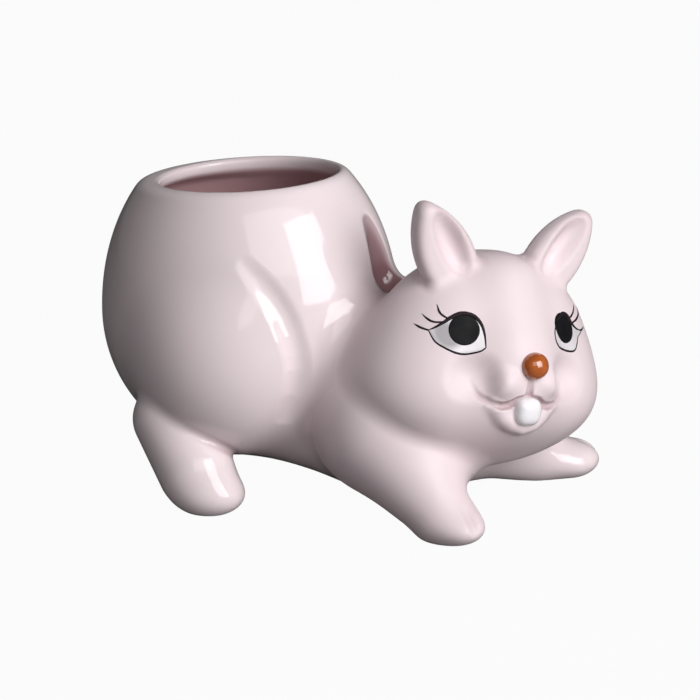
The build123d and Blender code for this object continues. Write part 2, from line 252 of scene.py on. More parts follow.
@dataclass(frozen=True)
class TurnedForm(Form):
    """A form turned about Z, fuller than an ellipse and squeezed a little in plan."""

    centre_height: float
    half_length: float
    half_width: float
    top: float
    bottom: float
    fullness: float

    ON_AXIS, LEAST_SLOPE = 1e-6, 1e-4

    def shrunk(self, wall: float) -> "TurnedForm":
        """The form a wall smaller all round."""
        halves = (half - wall for half in (self.half_length, self.half_width, self.top, self.bottom))
        return TurnedForm(self.centre_height, *halves, self.fullness)

    def distance(self, points: Array) -> Array:
        """The distances to the form.

        Args:
            points: places, one row each.

        Returns:
            One distance a place, true close to the surface.
        """
        x, y, z = points[:, 0], points[:, 1], points[:, 2] - self.centre_height
        half_height = np.where(z > 0, self.top, self.bottom)
        across = np.sqrt((x / self.half_length) ** 2 + (y / self.half_width) ** 2)
        up = np.abs(z) / half_height
        reach = (across**self.fullness + up**self.fullness) ** (1 / self.fullness)
        safe = np.maximum(reach, TINY)
        share_across = (across / safe) ** (self.fullness - 1) / np.maximum(across, self.ON_AXIS)
        share_up = (up / safe) ** (self.fullness - 1) / half_height
        slope_x = share_across * x / self.half_length**2
        slope_y = share_across * y / self.half_width**2
        slope = np.sqrt(slope_x**2 + slope_y**2 + share_up**2)
        return (reach - 1) / np.maximum(slope, self.LEAST_SLOPE)

    def extent(self) -> Box:
        """The box of the turned form."""
        low = np.array([-self.half_length, -self.half_width, self.centre_height - self.bottom])
        return low, np.array([self.half_length, self.half_width, self.centre_height + self.top])


@dataclass(frozen=True)
class Melted(Form):
    """Several forms, melted together in turn, each over its own width."""

    first: Form
    others: tuple[tuple[Form, float], ...]

    join = staticmethod(melt)

    def distance(self, points: Array) -> Array:
        """The distances to the joined form.

        Args:
            points: places, one row each.

        Returns:
            One distance a place.
        """
        total = self.first.distance(points)
        for form, width in self.others:
            total = self.join(total, form.distance(points), width)
        return total

    def extent(self) -> Box:
        """The box of all the forms, with room for what the melting adds.

        Returns:
            Its lowest and highest corner.
        """
        low, high = joint_box([self.first, *(form for form, _ in self.others)])
        room = max(width for _, width in self.others) / 4
        return low - room, high + room


class Carved(Melted):
    """A form with grooves taken out of it in turn, each with its edges rounded over a width."""

    join = staticmethod(carve)

    def extent(self) -> Box:
        """The box of the form before it is carved."""
        return self.first.extent()


@dataclass(frozen=True)
class Nearby(Form):
    """A form that is worked out only close to it, because its distance has no use elsewhere."""

    form: Form
    margin: float = 16.0

    FAR = 100.0

    def distance(self, points: Array) -> Array:
        """The distances to the form.

        Args:
            points: places, one row each.

        Returns:
            One distance a place, and a large one beyond the margin.
        """
        low, high = self.form.extent()
        near = ((points > low - self.margin) & (points < high + self.margin)).all(1)
        result = np.full(len(points), self.FAR)
        if near.any():
            result[near] = self.form.distance(points[near])
        return result

    def extent(self) -> Box:
        """The form's own box."""
        return self.form.extent()


@dataclass(frozen=True)
class Channel(Form):
    """A channel along a form's skin: a chain of limbs that dip into it."""

    limbs: tuple[Limb, ...]

    ROUNDS, MARGIN = 8, 3.0

    @classmethod
    def along(cls, form: Form, path: Sequence[Triple], radius: float, depths: Sequence[float]) -> Nearby:
        """A channel that follows places on a form's skin.

        Args:
            form: the form that the channel is cut into.
            path: places close to its skin, in order.
            radius: the radius of the channel's round bottom.
            depths: how deep it is at each place.

        Returns:
            The channel, worked out only close to it.
        """
        points = np.array(path, float)
        for _ in range(cls.ROUNDS):
            value, slope = form.slope(points)
            points -= (value / np.maximum((slope**2).sum(1), TINY))[:, None] * slope
        points += (radius - np.array(depths))[:, None] * form.normals(points)
        places = [tuple(point) for point in points.tolist()]
        return Nearby(cls(tuple(Limb(*ends, radius, radius) for ends in zip(places, places[1:]))), cls.MARGIN)

    def distance(self, points: Array) -> Array:
        """The distances of points to the nearest limb."""
        return np.min([limb.distance(points) for limb in self.limbs], axis=0)

    def extent(self) -> Box:
        """The box of all the limbs."""
        return joint_box(self.limbs)


@dataclass(frozen=True)
class Hung(Form):
    """A form in a frame of its own, such as the head's."""

    form: Form
    centre: Triple
    yaw: float
    roll: float = 0.0

    def inward(self, points: Array) -> Array:
        """Points of the pot's frame, in the form's own frame."""
        return (points - np.array(self.centre)) @ turn_matrix(self.yaw, self.roll)

    def outward(self, points: Array) -> Array:
        """Points of the form's own frame, in the pot's frame."""
        return points @ turn_matrix(self.yaw, self.roll).T + np.array(self.centre)

    def distance(self, points: Array) -> Array:
        """The distances of points to the form."""
        return self.form.distance(self.inward(points))

    def extent(self) -> Box:
        """The box of the form's own box, after it is hung.

        Returns:
            Its lowest and highest corner.
        """
        box = np.array(self.form.extent())
        corners = self.outward(np.array([box[corner, (0, 1, 2)] for corner in np.ndindex(2, 2, 2)]))
        return corners.min(0), corners.max(0)


@dataclass(frozen=True)
class Ear(Form):
    """A pointed leaf with a rounded rim and a scooped front, in the head's frame."""

    side: int
    root: Triple = (5.5, 19.6, 33.6)
    splay: float = 33.6
    half_width: float = 9.4
    reach: float = 21.7
    half_thickness: float = 4.2
    tip_round: float = 4.0
    rim_round: float = 3.6
    flatness: float = 0.66
    scoop: Ellipsoid = Ellipsoid((5.6, -2.3, 4.5), (5.4, 3.9, 11.0))
    scoop_round: float = 2.4
    facing: float = 5.7

    ROOM = 1.1

    def foot(self) -> Array:
        """The middle of the leaf, on its own side of the head."""
        return np.array(self.root) * (1, self.side, 1)

    def frame(self) -> Array:
        """The leaf's axes.

        Returns:
            Columns that point out of its front, across it and up to its tip.
        """
        splay, facing = math.radians(self.splay), math.radians(self.facing)
        up = np.array([0.0, self.side * math.sin(splay), math.cos(splay)])
        front = np.array([math.cos(facing), self.side * math.sin(facing), 0.0])
        front -= up * (front @ up)
        front /= np.linalg.norm(front)
        return np.stack([front, self.side * np.cross(up, front), up], axis=1)

    def distance(self, points: Array) -> Array:
        """The distances to the ear.

        Args:
            points: places, one row each.

        Returns:
            One distance a place.
        """
        local = (points - self.foot()) @ self.frame()
        front, across, up = local.T
        radius = (self.half_width**2 + self.reach**2) / (2 * self.half_width)
        shift = radius - self.half_width
        lift = up**2 + (self.flatness * front) ** 2
        inner = np.sqrt((across - shift) ** 2 + lift) - radius
        outer = np.sqrt((across + shift) ** 2 + lift) - radius
        leaf = -melt(-inner, -outer, self.tip_round)
        slab = -melt(-leaf, self.half_thickness - np.abs(front), self.rim_round)
        return carve(slab, self.scoop.distance(local), self.scoop_round)

    def extent(self) -> Box:
        """A box that holds the whole leaf."""
        return self.foot() - self.ROOM * self.reach, self.foot() + self.ROOM * self.reach


@dataclass(frozen=True)
class PotSizes:
    """The pot: a turned form with thigh lobes, an oval mouth in a leaning rim and a drain."""

    outside: TurnedForm = TurnedForm(57.2, 49.0, 44.6, 61.2, 47.9, 2.03)
    thigh: Ellipsoid = Ellipsoid((2.2, 21.0, 49.1), (31.8, 28.5, 33.6))
    thigh_melt: float = 5.0
    wall: float = 5.0
    rim_height: float = 102.2
    rim_lean: float = 0.082
    rim_round: float = 2.2
    lip_round: float = 1.8
    mouth: Pair = (29.0, 27.5)
    mouth_bands: float = 3.0
    band: float = 5.0
    band_melt: float = 3.0
    drain_radius: float = 4.5
    drain_melt: float = 1.0
    valley: Limb = Limb((46.2, 0.5, 91.0), (53.6, 0.5, 60.0), 5.0, 9.0)
    valley_round: float = 2.5
    thigh_crease: tuple[Triple, ...] = (
        (16.5, 39.0, 82.5), (21.6, 37.5, 76.7), (25.3, 36.8, 71.8), (28.3, 35.9, 66.0), (30.3, 35.0, 60.2),
        (31.5, 34.1, 53.9), (31.6, 33.6, 48.9), (30.2, 33.6, 40.6), (27.6, 33.2, 33.6))
    thigh_depths: tuple[float, ...] = (0.0, 0.8, 1.2, 1.4, 1.5, 1.5, 1.4, 1.1, 0.6)
    crease_radius: float = 6.0
    crease_round: float = 1.2

    def form(self) -> Form:
        """The pot's outside.

        Returns:
            The pot before its rim is cut, with the valley and the thighs' creases.
        """
        lobed = Melted(self.outside, tuple((thigh, self.thigh_melt) for thigh in pair(self.thigh)))
        creases = [
            Channel.along(lobed, path, self.crease_radius, self.thigh_depths)
            for path in (self.thigh_crease, mirrored_path(self.thigh_crease))]
        grooves = [(self.valley, self.valley_round)] + [(crease, self.crease_round) for crease in creases]
        return Carved(lobed, tuple(grooves))

    def below_rim(self, points: Array) -> Array:
        """How far points lie below the leaning rim."""
        return self.rim_height + self.rim_lean * points[:, 0] - points[:, 2]

    def cavity(self, points: Array) -> Array:
        """The distances to the planting cavity with its mouth and the drain hole.

        Args:
            points: places, one row each.

        Returns:
            One distance a place.
        """
        x, y, z = points.T
        below = self.below_rim(points)
        hollow = self.outside.shrunk(self.wall).distance(points)
        hollow = carve(hollow, self.valley.distance(points) - self.wall, self.band)
        hollow = -melt(-hollow, below - self.band, self.band_melt)
        half_length, half_width = self.mouth
        mouth = (np.sqrt((x / half_length) ** 2 + (y / half_width) ** 2) - 1) * half_width
        mouth = np.maximum(mouth, below - self.mouth_bands * self.band)
        drain = np.maximum(np.hypot(x, y) - self.drain_radius, z - self.outside.centre_height)
        return melt(melt(hollow, mouth, self.band_melt), drain, self.drain_melt)


@dataclass(frozen=True)
class ChestSizes:
    """The chest: a belly and two shoulders, with a vent underneath."""

    belly: Ellipsoid = Ellipsoid((38.7, 0.0, 31.9), (38.1, 26.9, 27.1))
    shoulder: Ellipsoid = Ellipsoid((61.6, 12.1, 37.3), (29.9, 21.4, 33.1))
    shoulder_melt: float = 14.0
    middle_melt: float = 6.0
    vent_radius: float = 2.0
    vent_depth: float = 8.0
    vent_round: float = 1.0

    def form(self) -> Form:
        """The chest's outside."""
        left, right = pair(self.shoulder)
        return Melted(self.belly, ((Melted(left, ((right, self.middle_melt),)), self.shoulder_melt),))

    def vent(self, points: Array) -> Array:
        """The distances to the vent under the belly.

        Args:
            points: places, one row each.

        Returns:
            One distance a place.
        """
        x, _, middle = self.belly.centre
        top = middle - self.belly.halves[2] + self.vent_depth
        from_axis = np.hypot(points[:, 0] - x, points[:, 1]) - self.vent_radius
        return np.maximum(from_axis, points[:, 2] - top)


@dataclass(frozen=True)
class LegSizes:
    """A leg: a tapered limb on a flattened foot."""

    limb: Limb
    foot: Ellipsoid
    foot_melt: float
    cleft_rises: tuple[float, ...] = (62.0, 44.0, 26.0, 8.0)
    cleft_depths: tuple[float, ...] = (0.0, 0.6, 0.8, 0.5)
    cleft_radius: float = 2.0
    cleft_round: float = 1.2

    def form(self) -> Form:
        """The leg's outside, before its sole is cut."""
        return Melted(self.limb, ((self.foot, self.foot_melt),))

    def toed(self) -> Form:
        """The leg with a cleft between its toes.

        Returns:
            Its outside, with the cleft along the foot's middle.
        """
        rises = np.radians(self.cleft_rises)
        reach, _, height = self.foot.halves
        local = np.stack([reach * np.cos(rises), 0 * rises, height * np.sin(rises)], axis=1)
        path = local @ turn_matrix(self.foot.turn).T + np.array(self.foot.centre)
        cleft = Channel.along(self.form(), path.tolist(), self.cleft_radius, self.cleft_depths)
        return Carved(self.form(), ((cleft, self.cleft_round),))

    def mirrored(self) -> "LegSizes":
        """The same leg on the other side."""
        return LegSizes(self.limb.mirrored(), self.foot.mirrored(), self.foot_melt)


HIND_LEG = LegSizes(
    Limb((-13.1, 32.0, 27.2), (-1.3, 38.8, 12.9), 12.6, 12.3),
    Ellipsoid((4.1, 38.6, 6.2), (10.5, 10.1, 6.8)), 5.0)
RIGHT_FORELEG = LegSizes(
    Limb((57.4, -23.1, 28.9), (79.0, -33.1, 9.3), 19.7, 10.1),
    Ellipsoid((84.9, -34.7, 5.4), (11.4, 9.0, 5.9), -32.0), 6.0)
LEFT_FORELEG = LegSizes(
    Limb((62.5, 19.4, 22.8), (85.9, 34.5, 9.5), 19.5, 10.5),
    Ellipsoid((95.7, 41.6, 5.8), (10.6, 10.6, 6.3), 30.0), 6.0)


@dataclass(frozen=True)
class HeadSizes:
    """The head: its own frame is the cranium's, turned and rolled to the animal's right."""

    centre: Triple = (79.7, -2.6, 49.9)
    yaw: float = -38.6
    roll: float = -8.2
    cranium: Ellipsoid = Ellipsoid((0.0, 0.0, 0.0), (26.2, 38.1, 34.8))
    cheek: Ellipsoid = Ellipsoid((-1.3, 18.3, -9.2), (25.6, 22.0, 15.3))
    cheek_melt: float = 14.0
    muzzle: Ellipsoid = Ellipsoid((15.4, 0.0, -3.5), (17.5, 15.0, 17.5))
    muzzle_melt: float = 10.0
    pad: Ellipsoid = Ellipsoid((25.4, 6.7, -0.6), (8.6, 7.6, 6.6))
    pad_melt: float = 1.6
    lower_lip: Ellipsoid = Ellipsoid((26.6, 0.2, -10.6), (5.8, 7.2, 5.6))
    lip_melt: float = 2.0
    bridge: Limb = Limb((19.5, 0.0, 8.0), (9.6, 0.0, 25.0), 10.0, 9.0)
    bridge_melt: float = 8.0
    hollow: Ellipsoid = Ellipsoid((31.0, 18.4, 1.4), (7.0, 6.6, 6.0))
    hollow_round: float = 5.0
    smile: tuple[Triple, ...] = (
        (27.0, 17.2, -0.6), (28.0, 16.1, -3.3), (28.7, 14.9, -4.9), (29.8, 13.0, -6.0), (30.6, 11.4, -6.8),
        (31.5, 9.8, -7.0), (32.2, 8.3, -7.2), (32.6, 6.2, -6.8), (33.3, 3.8, -5.2), (33.4, 0.0, -4.2))
    smile_depths: tuple[float, ...] = (0.0, 0.4, 0.6, 0.7, 0.8, 1.0, 1.2, 1.3, 1.3, 1.3)
    smile_radius: float = 1.1
    lip_split: tuple[Triple, ...] = ((33.0, 0.0, 2.0), (33.4, 0.0, -1.0), (33.4, 0.0, -4.6))
    split_depths: tuple[float, ...] = (0.3, 0.9, 1.4)
    split_radius: float = 1.2
    lip_fold: tuple[Triple, ...] = (
        (30.0, -10.6, -7.2), (31.0, -9.0, -8.9), (31.2, -7.0, -11.6), (32.0, -4.2, -13.7), (32.1, 0.2, -15.2),
        (31.5, 4.6, -13.8), (31.2, 7.2, -11.8), (31.0, 9.2, -8.9), (30.0, 10.8, -7.2))
    fold_sinks: tuple[float, ...] = (4.6, 3.6, 3.2, 3.0, 2.9, 3.0, 3.2, 3.6, 4.6)
    fold_radius: float = 2.3
    fold_melt: float = 2.4
    groove_round: float = 0.7

    def form(self) -> Form:
        """The head without its ears.

        Returns:
            Its outside in its own frame.
        """
        left, right = pair(self.pad)
        pads = Melted(left, ((right, self.pad_melt / 2),))
        plain = Melted(self.cranium, (
            *((cheek, self.cheek_melt) for cheek in pair(self.cheek)), (self.muzzle, self.muzzle_melt),
            (self.bridge, self.bridge_melt), (self.lower_lip, self.lip_melt), (pads, self.pad_melt)))
        fold = Channel.along(plain, self.lip_fold, self.fold_radius, self.fold_sinks)
        lipped = Melted(plain, ((fold, self.fold_melt),))
        dented = Carved(lipped, tuple((hollow, self.hollow_round) for hollow in pair(self.hollow)))
        lines = [
            Channel.along(dented, path, self.smile_radius, self.smile_depths)
            for path in (self.smile, mirrored_path(self.smile))]
        lines.append(Channel.along(dented, self.lip_split, self.split_radius, self.split_depths))
        return Carved(dented, tuple((line, self.groove_round) for line in lines))

    def hung(self, form: Form) -> Hung:
        """A form of the head's frame, in the pot's frame."""
        return Hung(form, self.centre, self.yaw, self.roll)


class Planter(Form):
    """The whole planter's outside: castings that are melted together, with the mouth cut out.

    The castings come in the order in which they own what they share: the pot keeps all of its
    own form, the head what the pot leaves, and so on.
    """

    LEG_MELTS = {"hind_leg": 2.5, "foreleg": 10.0}
    CHEST_MELT, HEAD_MELT, EAR_MELT = 10.0, 3.0, 2.5
    SOLE_ROUND = 0.5
    LEFT_EAR_REACH = 20.2
    SATIN_FADE = 7.0
    SATIN_NODES = ("head", "left_ear", "right_ear", "right_foreleg")
    # The fold over the neck is painted dark: painted shade.
    FOLD_FADE, FOLD_DEPTH = 1.5, 1.6
    # The cavity's wall is painted darker below the lip's light band: painted shade.
    LIP_BAND, BAND_FADE, WALL_FADE = 3.4, 1.6, 2.6

    def __init__(self, pot: PotSizes, chest: ChestSizes, head: HeadSizes) -> None:
        """Makes the castings' own forms.

        Args:
            pot: the pot's sizes.
            chest: the chest's sizes.
            head: the head's sizes.
        """
        self.pot, self.chest = pot, chest
        forms = {
            "pot_body": pot.form(),
            "head": head.hung(head.form()),
            "chest": chest.form(),
            "left_hind_leg": HIND_LEG.form(),
            "right_hind_leg": HIND_LEG.mirrored().form(),
            "left_foreleg": LEFT_FORELEG.toed(),
            "right_foreleg": RIGHT_FORELEG.toed(),
            "left_ear": head.hung(Ear(LEFT, reach=self.LEFT_EAR_REACH)),
            "right_ear": head.hung(Ear(RIGHT)),
        }
        self.castings = {node: Nearby(form) for node, form in forms.items()}
        self.names = list(forms)

    def own_distances(self, points: Array) -> Array:
        """The distances of points to each casting's own form, one row for each casting."""
        return np.stack([form.distance(points) for form in self.castings.values()])

    def skin(self, points: Array, own: Array) -> Array:
        """The distances to the finished skin.

        Args:
            points: places, one row each.
            own: their distances to each casting's own form.

        Returns:
            The distances to the castings, melted together, with the rim, the mouth, the vent and
            the soles cut.
        """
        rows = dict(zip(self.names, own))
        total, head = melt(rows["pot_body"], rows["chest"], self.CHEST_MELT), rows["head"]
        for leg, width in self.LEG_MELTS.items():
            for side in SIDE_NAMES.values():
                total = melt(total, rows[f"{side}_{leg}"], width)
        for side in SIDE_NAMES.values():
            head = melt(head, rows[f"{side}_ear"], self.EAR_MELT)
        total = melt(total, head, self.HEAD_MELT)
        total = carve(total, self.pot.below_rim(points), self.pot.rim_round)
        total = carve(total, self.pot.cavity(points), self.pot.lip_round)
        total = carve(total, self.chest.vent(points), self.chest.vent_round)
        return carve(total, points[:, 2], self.SOLE_ROUND)

    def distance(self, points: Array) -> Array:
        """The distances of points to the finished skin."""
        return self.skin(points, self.own_distances(points))

    def heights(self, points: Array, first: Array, second: Array) -> Array:
        """How far points lie over the skin and over the face where two castings meet.

        Args:
            points: places, one row each.
            first: for each place, the number of the casting that owns what the two share.
            second: the number of the other one.

        Returns:
            Two rows of heights.
        """
        own, each = self.own_distances(points), np.arange(len(points))
        seam = own[first, each] - np.maximum(own[second, each], 0)
        return np.stack([self.skin(points, own), seam])

    def inside(self, points: Array) -> Array:
        """The share of painted shade on the cavity's wall.

        Args:
            points: places, one row each.

        Returns:
            1 on the cavity's wall below the lip's light band, and 0 elsewhere.
        """
        below = self.pot.below_rim(points) - self.LIP_BAND
        wall = np.clip(1 - self.pot.cavity(points) / self.WALL_FADE, 0, 1)
        return wall * np.clip(below / self.BAND_FADE, 0, 1)

    def fold(self, points: Array) -> Array:
        """How much painted shade darkens the fold over the neck."""
        return self.FOLD_DEPTH * np.clip(1 - self.pot.valley.distance(points) / self.FOLD_FADE, 0, 1)

    def satin(self, points: Array) -> Array:
        """The share of satin in the glaze, which is rougher and takes a painted shade.

        Args:
            points: places, one row each.

        Returns:
            1 on the satin castings, fading over their neighbours.
        """
        rows = dict(zip(self.names, self.own_distances(points)))
        away = np.min([rows[node] for node in self.SATIN_NODES], axis=0)
        share = np.clip(1 - away / self.SATIN_FADE, 0, 1)
        return share * share * (3 - 2 * share)

    def shares(self, points: Array) -> Array:
        """Which casting owns each point.

        Args:
            points: places, one row each.

        Returns:
            The casting's number, counted from 1, and 0 outside.
        """
        own = self.own_distances(points)
        owner = np.argmin(np.maximum(own, 0), axis=0) + 1
        return np.where(self.skin(points, own) < 0, owner, 0)


@dataclass(frozen=True)
class Shape:
    """A mesh before it becomes a piece: points in millimetres and faces of equal length."""

    points: Array
    faces: Array
    normals: Array | None = None
    values: dict[str, Array] = field(default_factory=dict)


class SharedSkin:
    """The castings' meshes, cut from one grid so that neighbours share their seams exactly.

    Each grid point belongs to one casting or to the outside. Every cell of the grid between
    unlike points gets one vertex, and every grid edge between unlike points gets one quad.
    """

    SLAB = 200_000
    BORDER, SPARE = 1.5, 4
    ROUNDS, EASE = 4, 0.5
    LEAST_SPREAD = 0.05
    CREASE_PROBE = 2.5

    def __init__(self, planter: Planter, low: Array, high: Array, step: float) -> None:
        """Makes the mesh of all the castings.

        Args:
            planter: the form to mesh.
            low: the lowest corner of the grid.
            high: the highest corner of the grid.
            step: the grid's spacing.
        """
        self.planter, self.step = planter, step
        self.low = low - self.BORDER * step
        self.shape = tuple(math.ceil(span / step) + self.SPARE for span in high - low)
        self._share_out()
        self._connect()
        self._classify()
        self._settle()

    def _places(self, numbers: Array) -> Array:
        """The steps along the three axes to numbered grid points."""
        return np.stack(np.unravel_index(numbers, self.shape), axis=1)

    def _share_out(self) -> None:
        """Finds the owner of every grid point."""
        owner = np.zeros(math.prod(self.shape), np.int8)
        for start in range(0, len(owner), self.SLAB):
            numbers = np.arange(start, min(start + self.SLAB, len(owner)))
            owner[numbers] = self.planter.shares(self._places(numbers) * self.step + self.low)
        self.owner = owner.reshape(self.shape)

    def _connect(self) -> None:
        """Makes a quad across each grid edge between unlike points, and the cells' vertices."""
        corners, below, above = [], [], []
        for axis, unit in enumerate(np.eye(3, dtype=int)):
            place = np.argwhere(np.diff(self.owner, axis=axis))
            below.append(self.owner[tuple(place.T)])
            above.append(self.owner[tuple((place + unit).T)])
            one, two = np.roll(unit, 1), np.roll(unit, 2)
            ring = [tuple((place - back).T) for back in (one + two, two, 0 * unit, one)]
            corners.append(np.stack([np.ravel_multi_index(cell, self.shape) for cell in ring], axis=1))
        self.cells, flat = np.unique(np.concatenate(corners), return_inverse=True)
        self.quads = flat.reshape(-1, 4)
        self.below, self.above = np.concatenate(below), np.concatenate(above)

    def _classify(self) -> None:
        """Notes which castings meet in each vertex's cell, and puts the vertex in its middle."""
        place = self._places(self.cells)
        self.points = (place + 0.5) * self.step + self.low
        present = np.zeros((len(place), len(self.planter.names) + 1), bool)
        for corner in np.ndindex(2, 2, 2):
            present[np.arange(len(place)), self.owner[tuple((place + corner).T)]] = True
        self.open_air = present[:, 0]
        self.sharers = present[:, 1:].sum(1)
        self.first = np.argmax(present[:, 1:], axis=1)
        self.second = present.shape[1] - 2 - np.argmax(present[:, :0:-1], axis=1)

    def _settle(self) -> None:
        """Evens the vertices out along the surfaces and lands them there."""
        tiers = self.open_air.astype(int) + (self.open_air & (self.sharers > 1))
        edges = np.concatenate([self.quads[:, [n, (n + 1) % 4]] for n in range(4)])
        edges = np.concatenate([edges, edges[:, ::-1]])
        start, end = edges[tiers[edges[:, 1]] >= tiers[edges[:, 0]]].T
        count = np.bincount(start, minlength=len(self.points))
        ease = np.where(count > 1, self.EASE, 0)[:, None]
        self._land()
        for _ in range(self.ROUNDS):
            sums = [np.bincount(start, self.points[end, axis], len(self.points)) for axis in range(3)]
            mean = np.stack(sums, axis=1) / np.maximum(count, 1)[:, None]
            self.points += ease * (mean - self.points)
            self._land()
        self._land()

    def _land(self) -> None:
        """Moves each vertex onto the surface, the seam or the meeting face that it belongs to."""
        for start in range(0, len(self.points), self.SLAB):
            part = slice(start, start + self.SLAB)
            meeting = self.first[part], self.second[part]
            bound = np.stack([self.open_air[part], self.sharers[part] == 2])
            value, slope = sloped(lambda places: self.planter.heights(places, *meeting), self.points[part])
            (skin, seam), (up_skin, up_seam) = value * bound, slope * bound[..., None]
            aa, bb = (up_skin**2).sum(1) + TINY, (up_seam**2).sum(1) + TINY
            ab = (up_skin * up_seam).sum(1)
            spread = np.maximum(aa * bb - ab * ab, self.LEAST_SPREAD * aa * bb + TINY * TINY)
            move = up_skin * ((skin * bb - seam * ab) / spread)[:, None]
            move += up_seam * ((seam * aa - skin * ab) / spread)[:, None]
            size = np.linalg.norm(move, axis=1, keepdims=True)
            self.points[part] -= move * np.minimum(1, self.step / np.maximum(size, TINY))

    def casting(self, node: str) -> Shape:
        """One casting's closed mesh: its share of the skin and the faces that meet its neighbours.

        Args:
            node: the casting's name.

        Returns:
            Its mesh, with its glaze values at its points: the crease measure for glaze and painted shade, the
            cavity's painted shade and the satin.
        """
        number = self.planter.names.index(node) + 1
        outward, inward = self.below == number, self.above == number
        quads = np.concatenate([self.quads[outward], self.quads[inward][:, ::-1]])
        on_skin = np.concatenate([self.above[outward], self.below[inward]]) == 0
        used, flat = np.unique(quads, return_inverse=True)
        quads, points = flat.reshape(-1, 4), self.points[used]
        shown = np.zeros(len(points), bool)
        shown[quads[on_skin].ravel()] = True
        normals = self.planter.normals(points)
        # High in creases, where glaze pools and painted shade is laid, and low on edges, where the glaze
        # thins.
        rise = self.planter.distance(points + self.CREASE_PROBE * normals) / self.CREASE_PROBE
        pooling = 1 - rise + self.planter.fold(points)
        return Shape(points, quads, np.where(shown[:, None], normals, 0), {
            "pooling": np.where(shown, pooling, 0),
            "inside": self.planter.inside(points),
            "satin": self.planter.satin(points),
        })


def rounded(path: Sequence[Sequence[float]], steps: int) -> Array:
    """A smooth line through a few points.

    Args:
        path: the points, in order.
        steps: how many points the line gets between two of them.

    Returns:
        The line's points, with both ends.
    """
    knots = np.asarray(path, float)
    knots = np.vstack([2 * knots[0] - knots[1], knots, 2 * knots[-1] - knots[-2]])
    share = np.arange(steps)[:, None] / steps
    pieces = []
    for before, start, end, after in zip(knots, knots[1:], knots[2:], knots[3:]):
        bend = 2 * before - 5 * start + 4 * end - after
        twist = 3 * start - before - 3 * end + after
        pieces.append(start + (end - before) * share / 2 + bend * share**2 / 2 + twist * share**3 / 2)
    return np.vstack(pieces + [knots[-2:-1]])


def put(name: str, data: bpy.types.ID) -> Object:
    """Adds an object to the scene.

    Args:
        name: its name.
        data: its mesh, lamp or camera.

    Returns:
        The new object.
    """
    thing = bpy.data.objects.new(name, data)
    bpy.context.scene.collection.objects.link(thing)
    return thing


@dataclass(frozen=True)
class Bench:
    """Turns shapes of the pot's frame, in millimetres, into pieces of the frame, in metres."""

    origin: Array

    @classmethod
    def at_pot(cls) -> "Bench":
        """A bench whose origin is on the ground under the middle of the pot."""
        low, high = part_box("pot_body")
        return cls(np.array([(low[0] + high[0]) / 2, (low[1] + high[1]) / 2, 0.0]))

    def placed(self, points: Array | Triple) -> Array:
        """Points of the pot's frame in the row's frame, in metres."""
        return np.asarray(points, float) * MM + self.origin

    def piece(self, name: str, shape: Shape, finish: Material) -> Object:
        """Makes a piece at the origin, unturned and unscaled, with its place in its mesh.

        Args:
            name: the piece's name.
            shape: its mesh in the pot's frame.
            finish: its material.

        Returns:
            The new object.
        """
        mesh = bpy.data.meshes.new(name)
        mesh.from_pydata(self.placed(shape.points).tolist(), [], shape.faces.tolist())
        mesh.shade_smooth()
        for label, values in shape.values.items():
            layer = mesh.attributes.new(label, "FLOAT", "POINT")
            layer.data.foreach_set("value", values.astype(np.float32))
        if shape.normals is not None:
            mesh.normals_split_custom_set_from_vertices(shape.normals.tolist())
        mesh.materials.append(finish)
        return put(name, mesh)


class Slot(Enum):
    """The record's material slots."""

    GLAZE = "glaze"
    WHITE = "white_enamel"
    BLACK = "black_enamel"
    BROWN = "brown_enamel"


def stand_in(piece: Object, slot: Slot, *nodes: str) -> Object:
    """Puts a piece on the planter's one body, in place of its CAD nodes.

    Args:
        piece: the piece.
        slot: a material slot, which is not used.
        nodes: the CAD nodes that it stands for.

    Returns:
        The same piece.
    """
    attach(piece, "root")
    if nodes:
        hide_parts(*nodes)
    faces = len(piece.data.polygons)
    LOG.info("%s: %d faces, in place of %s", piece.name, faces, ", ".join(nodes) or "nothing")
    return piece


class Wire:
    """A socket of a node tree, with the sums that are done on it."""

    def __init__(self, board: "Board", socket: bpy.types.NodeSocket) -> None:
        """Takes the board that lays the nodes, and the socket."""
        self.board, self.socket = board, socket

    def _sum(self, operation: str, *values: "Wire | float") -> "Wire":
        """Adds one Math node."""
        return self.board.node("ShaderNodeMath", {"operation": operation}, dict(enumerate(values)))

    def __add__(self, other: "Wire | float") -> "Wire":
        """The sum of two values."""
        return self._sum("ADD", self, other)

    __radd__ = __add__

    def __mul__(self, other: "Wire | float") -> "Wire":
        """The product of two values."""
        return self._sum("MULTIPLY", self, other)

    __rmul__ = __mul__

    def __sub__(self, other: "Wire | float") -> "Wire":
        """This value less another."""
        return self._sum("SUBTRACT", self, other)

    def __rsub__(self, other: "Wire | float") -> "Wire":
        """Another value less this one."""
        return self._sum("SUBTRACT", other, self)

    def ramp(self, low: float, high: float, start: float = 0.0, end: float = 1.0) -> "Wire":
        """Maps a span of this value smoothly onto another one.

        Args:
            low: where the span starts.
            high: where the span ends.
            start: what its start becomes, and all before it.
            end: what its end becomes, and all after it.

        Returns:
            The mapped value.
        """
        return self.board.node(
            "ShaderNodeMapRange", {"interpolation_type": "SMOOTHSTEP"},
            {"Value": self, "From Min": low, "From Max": high, "To Min": start, "To Max": end})


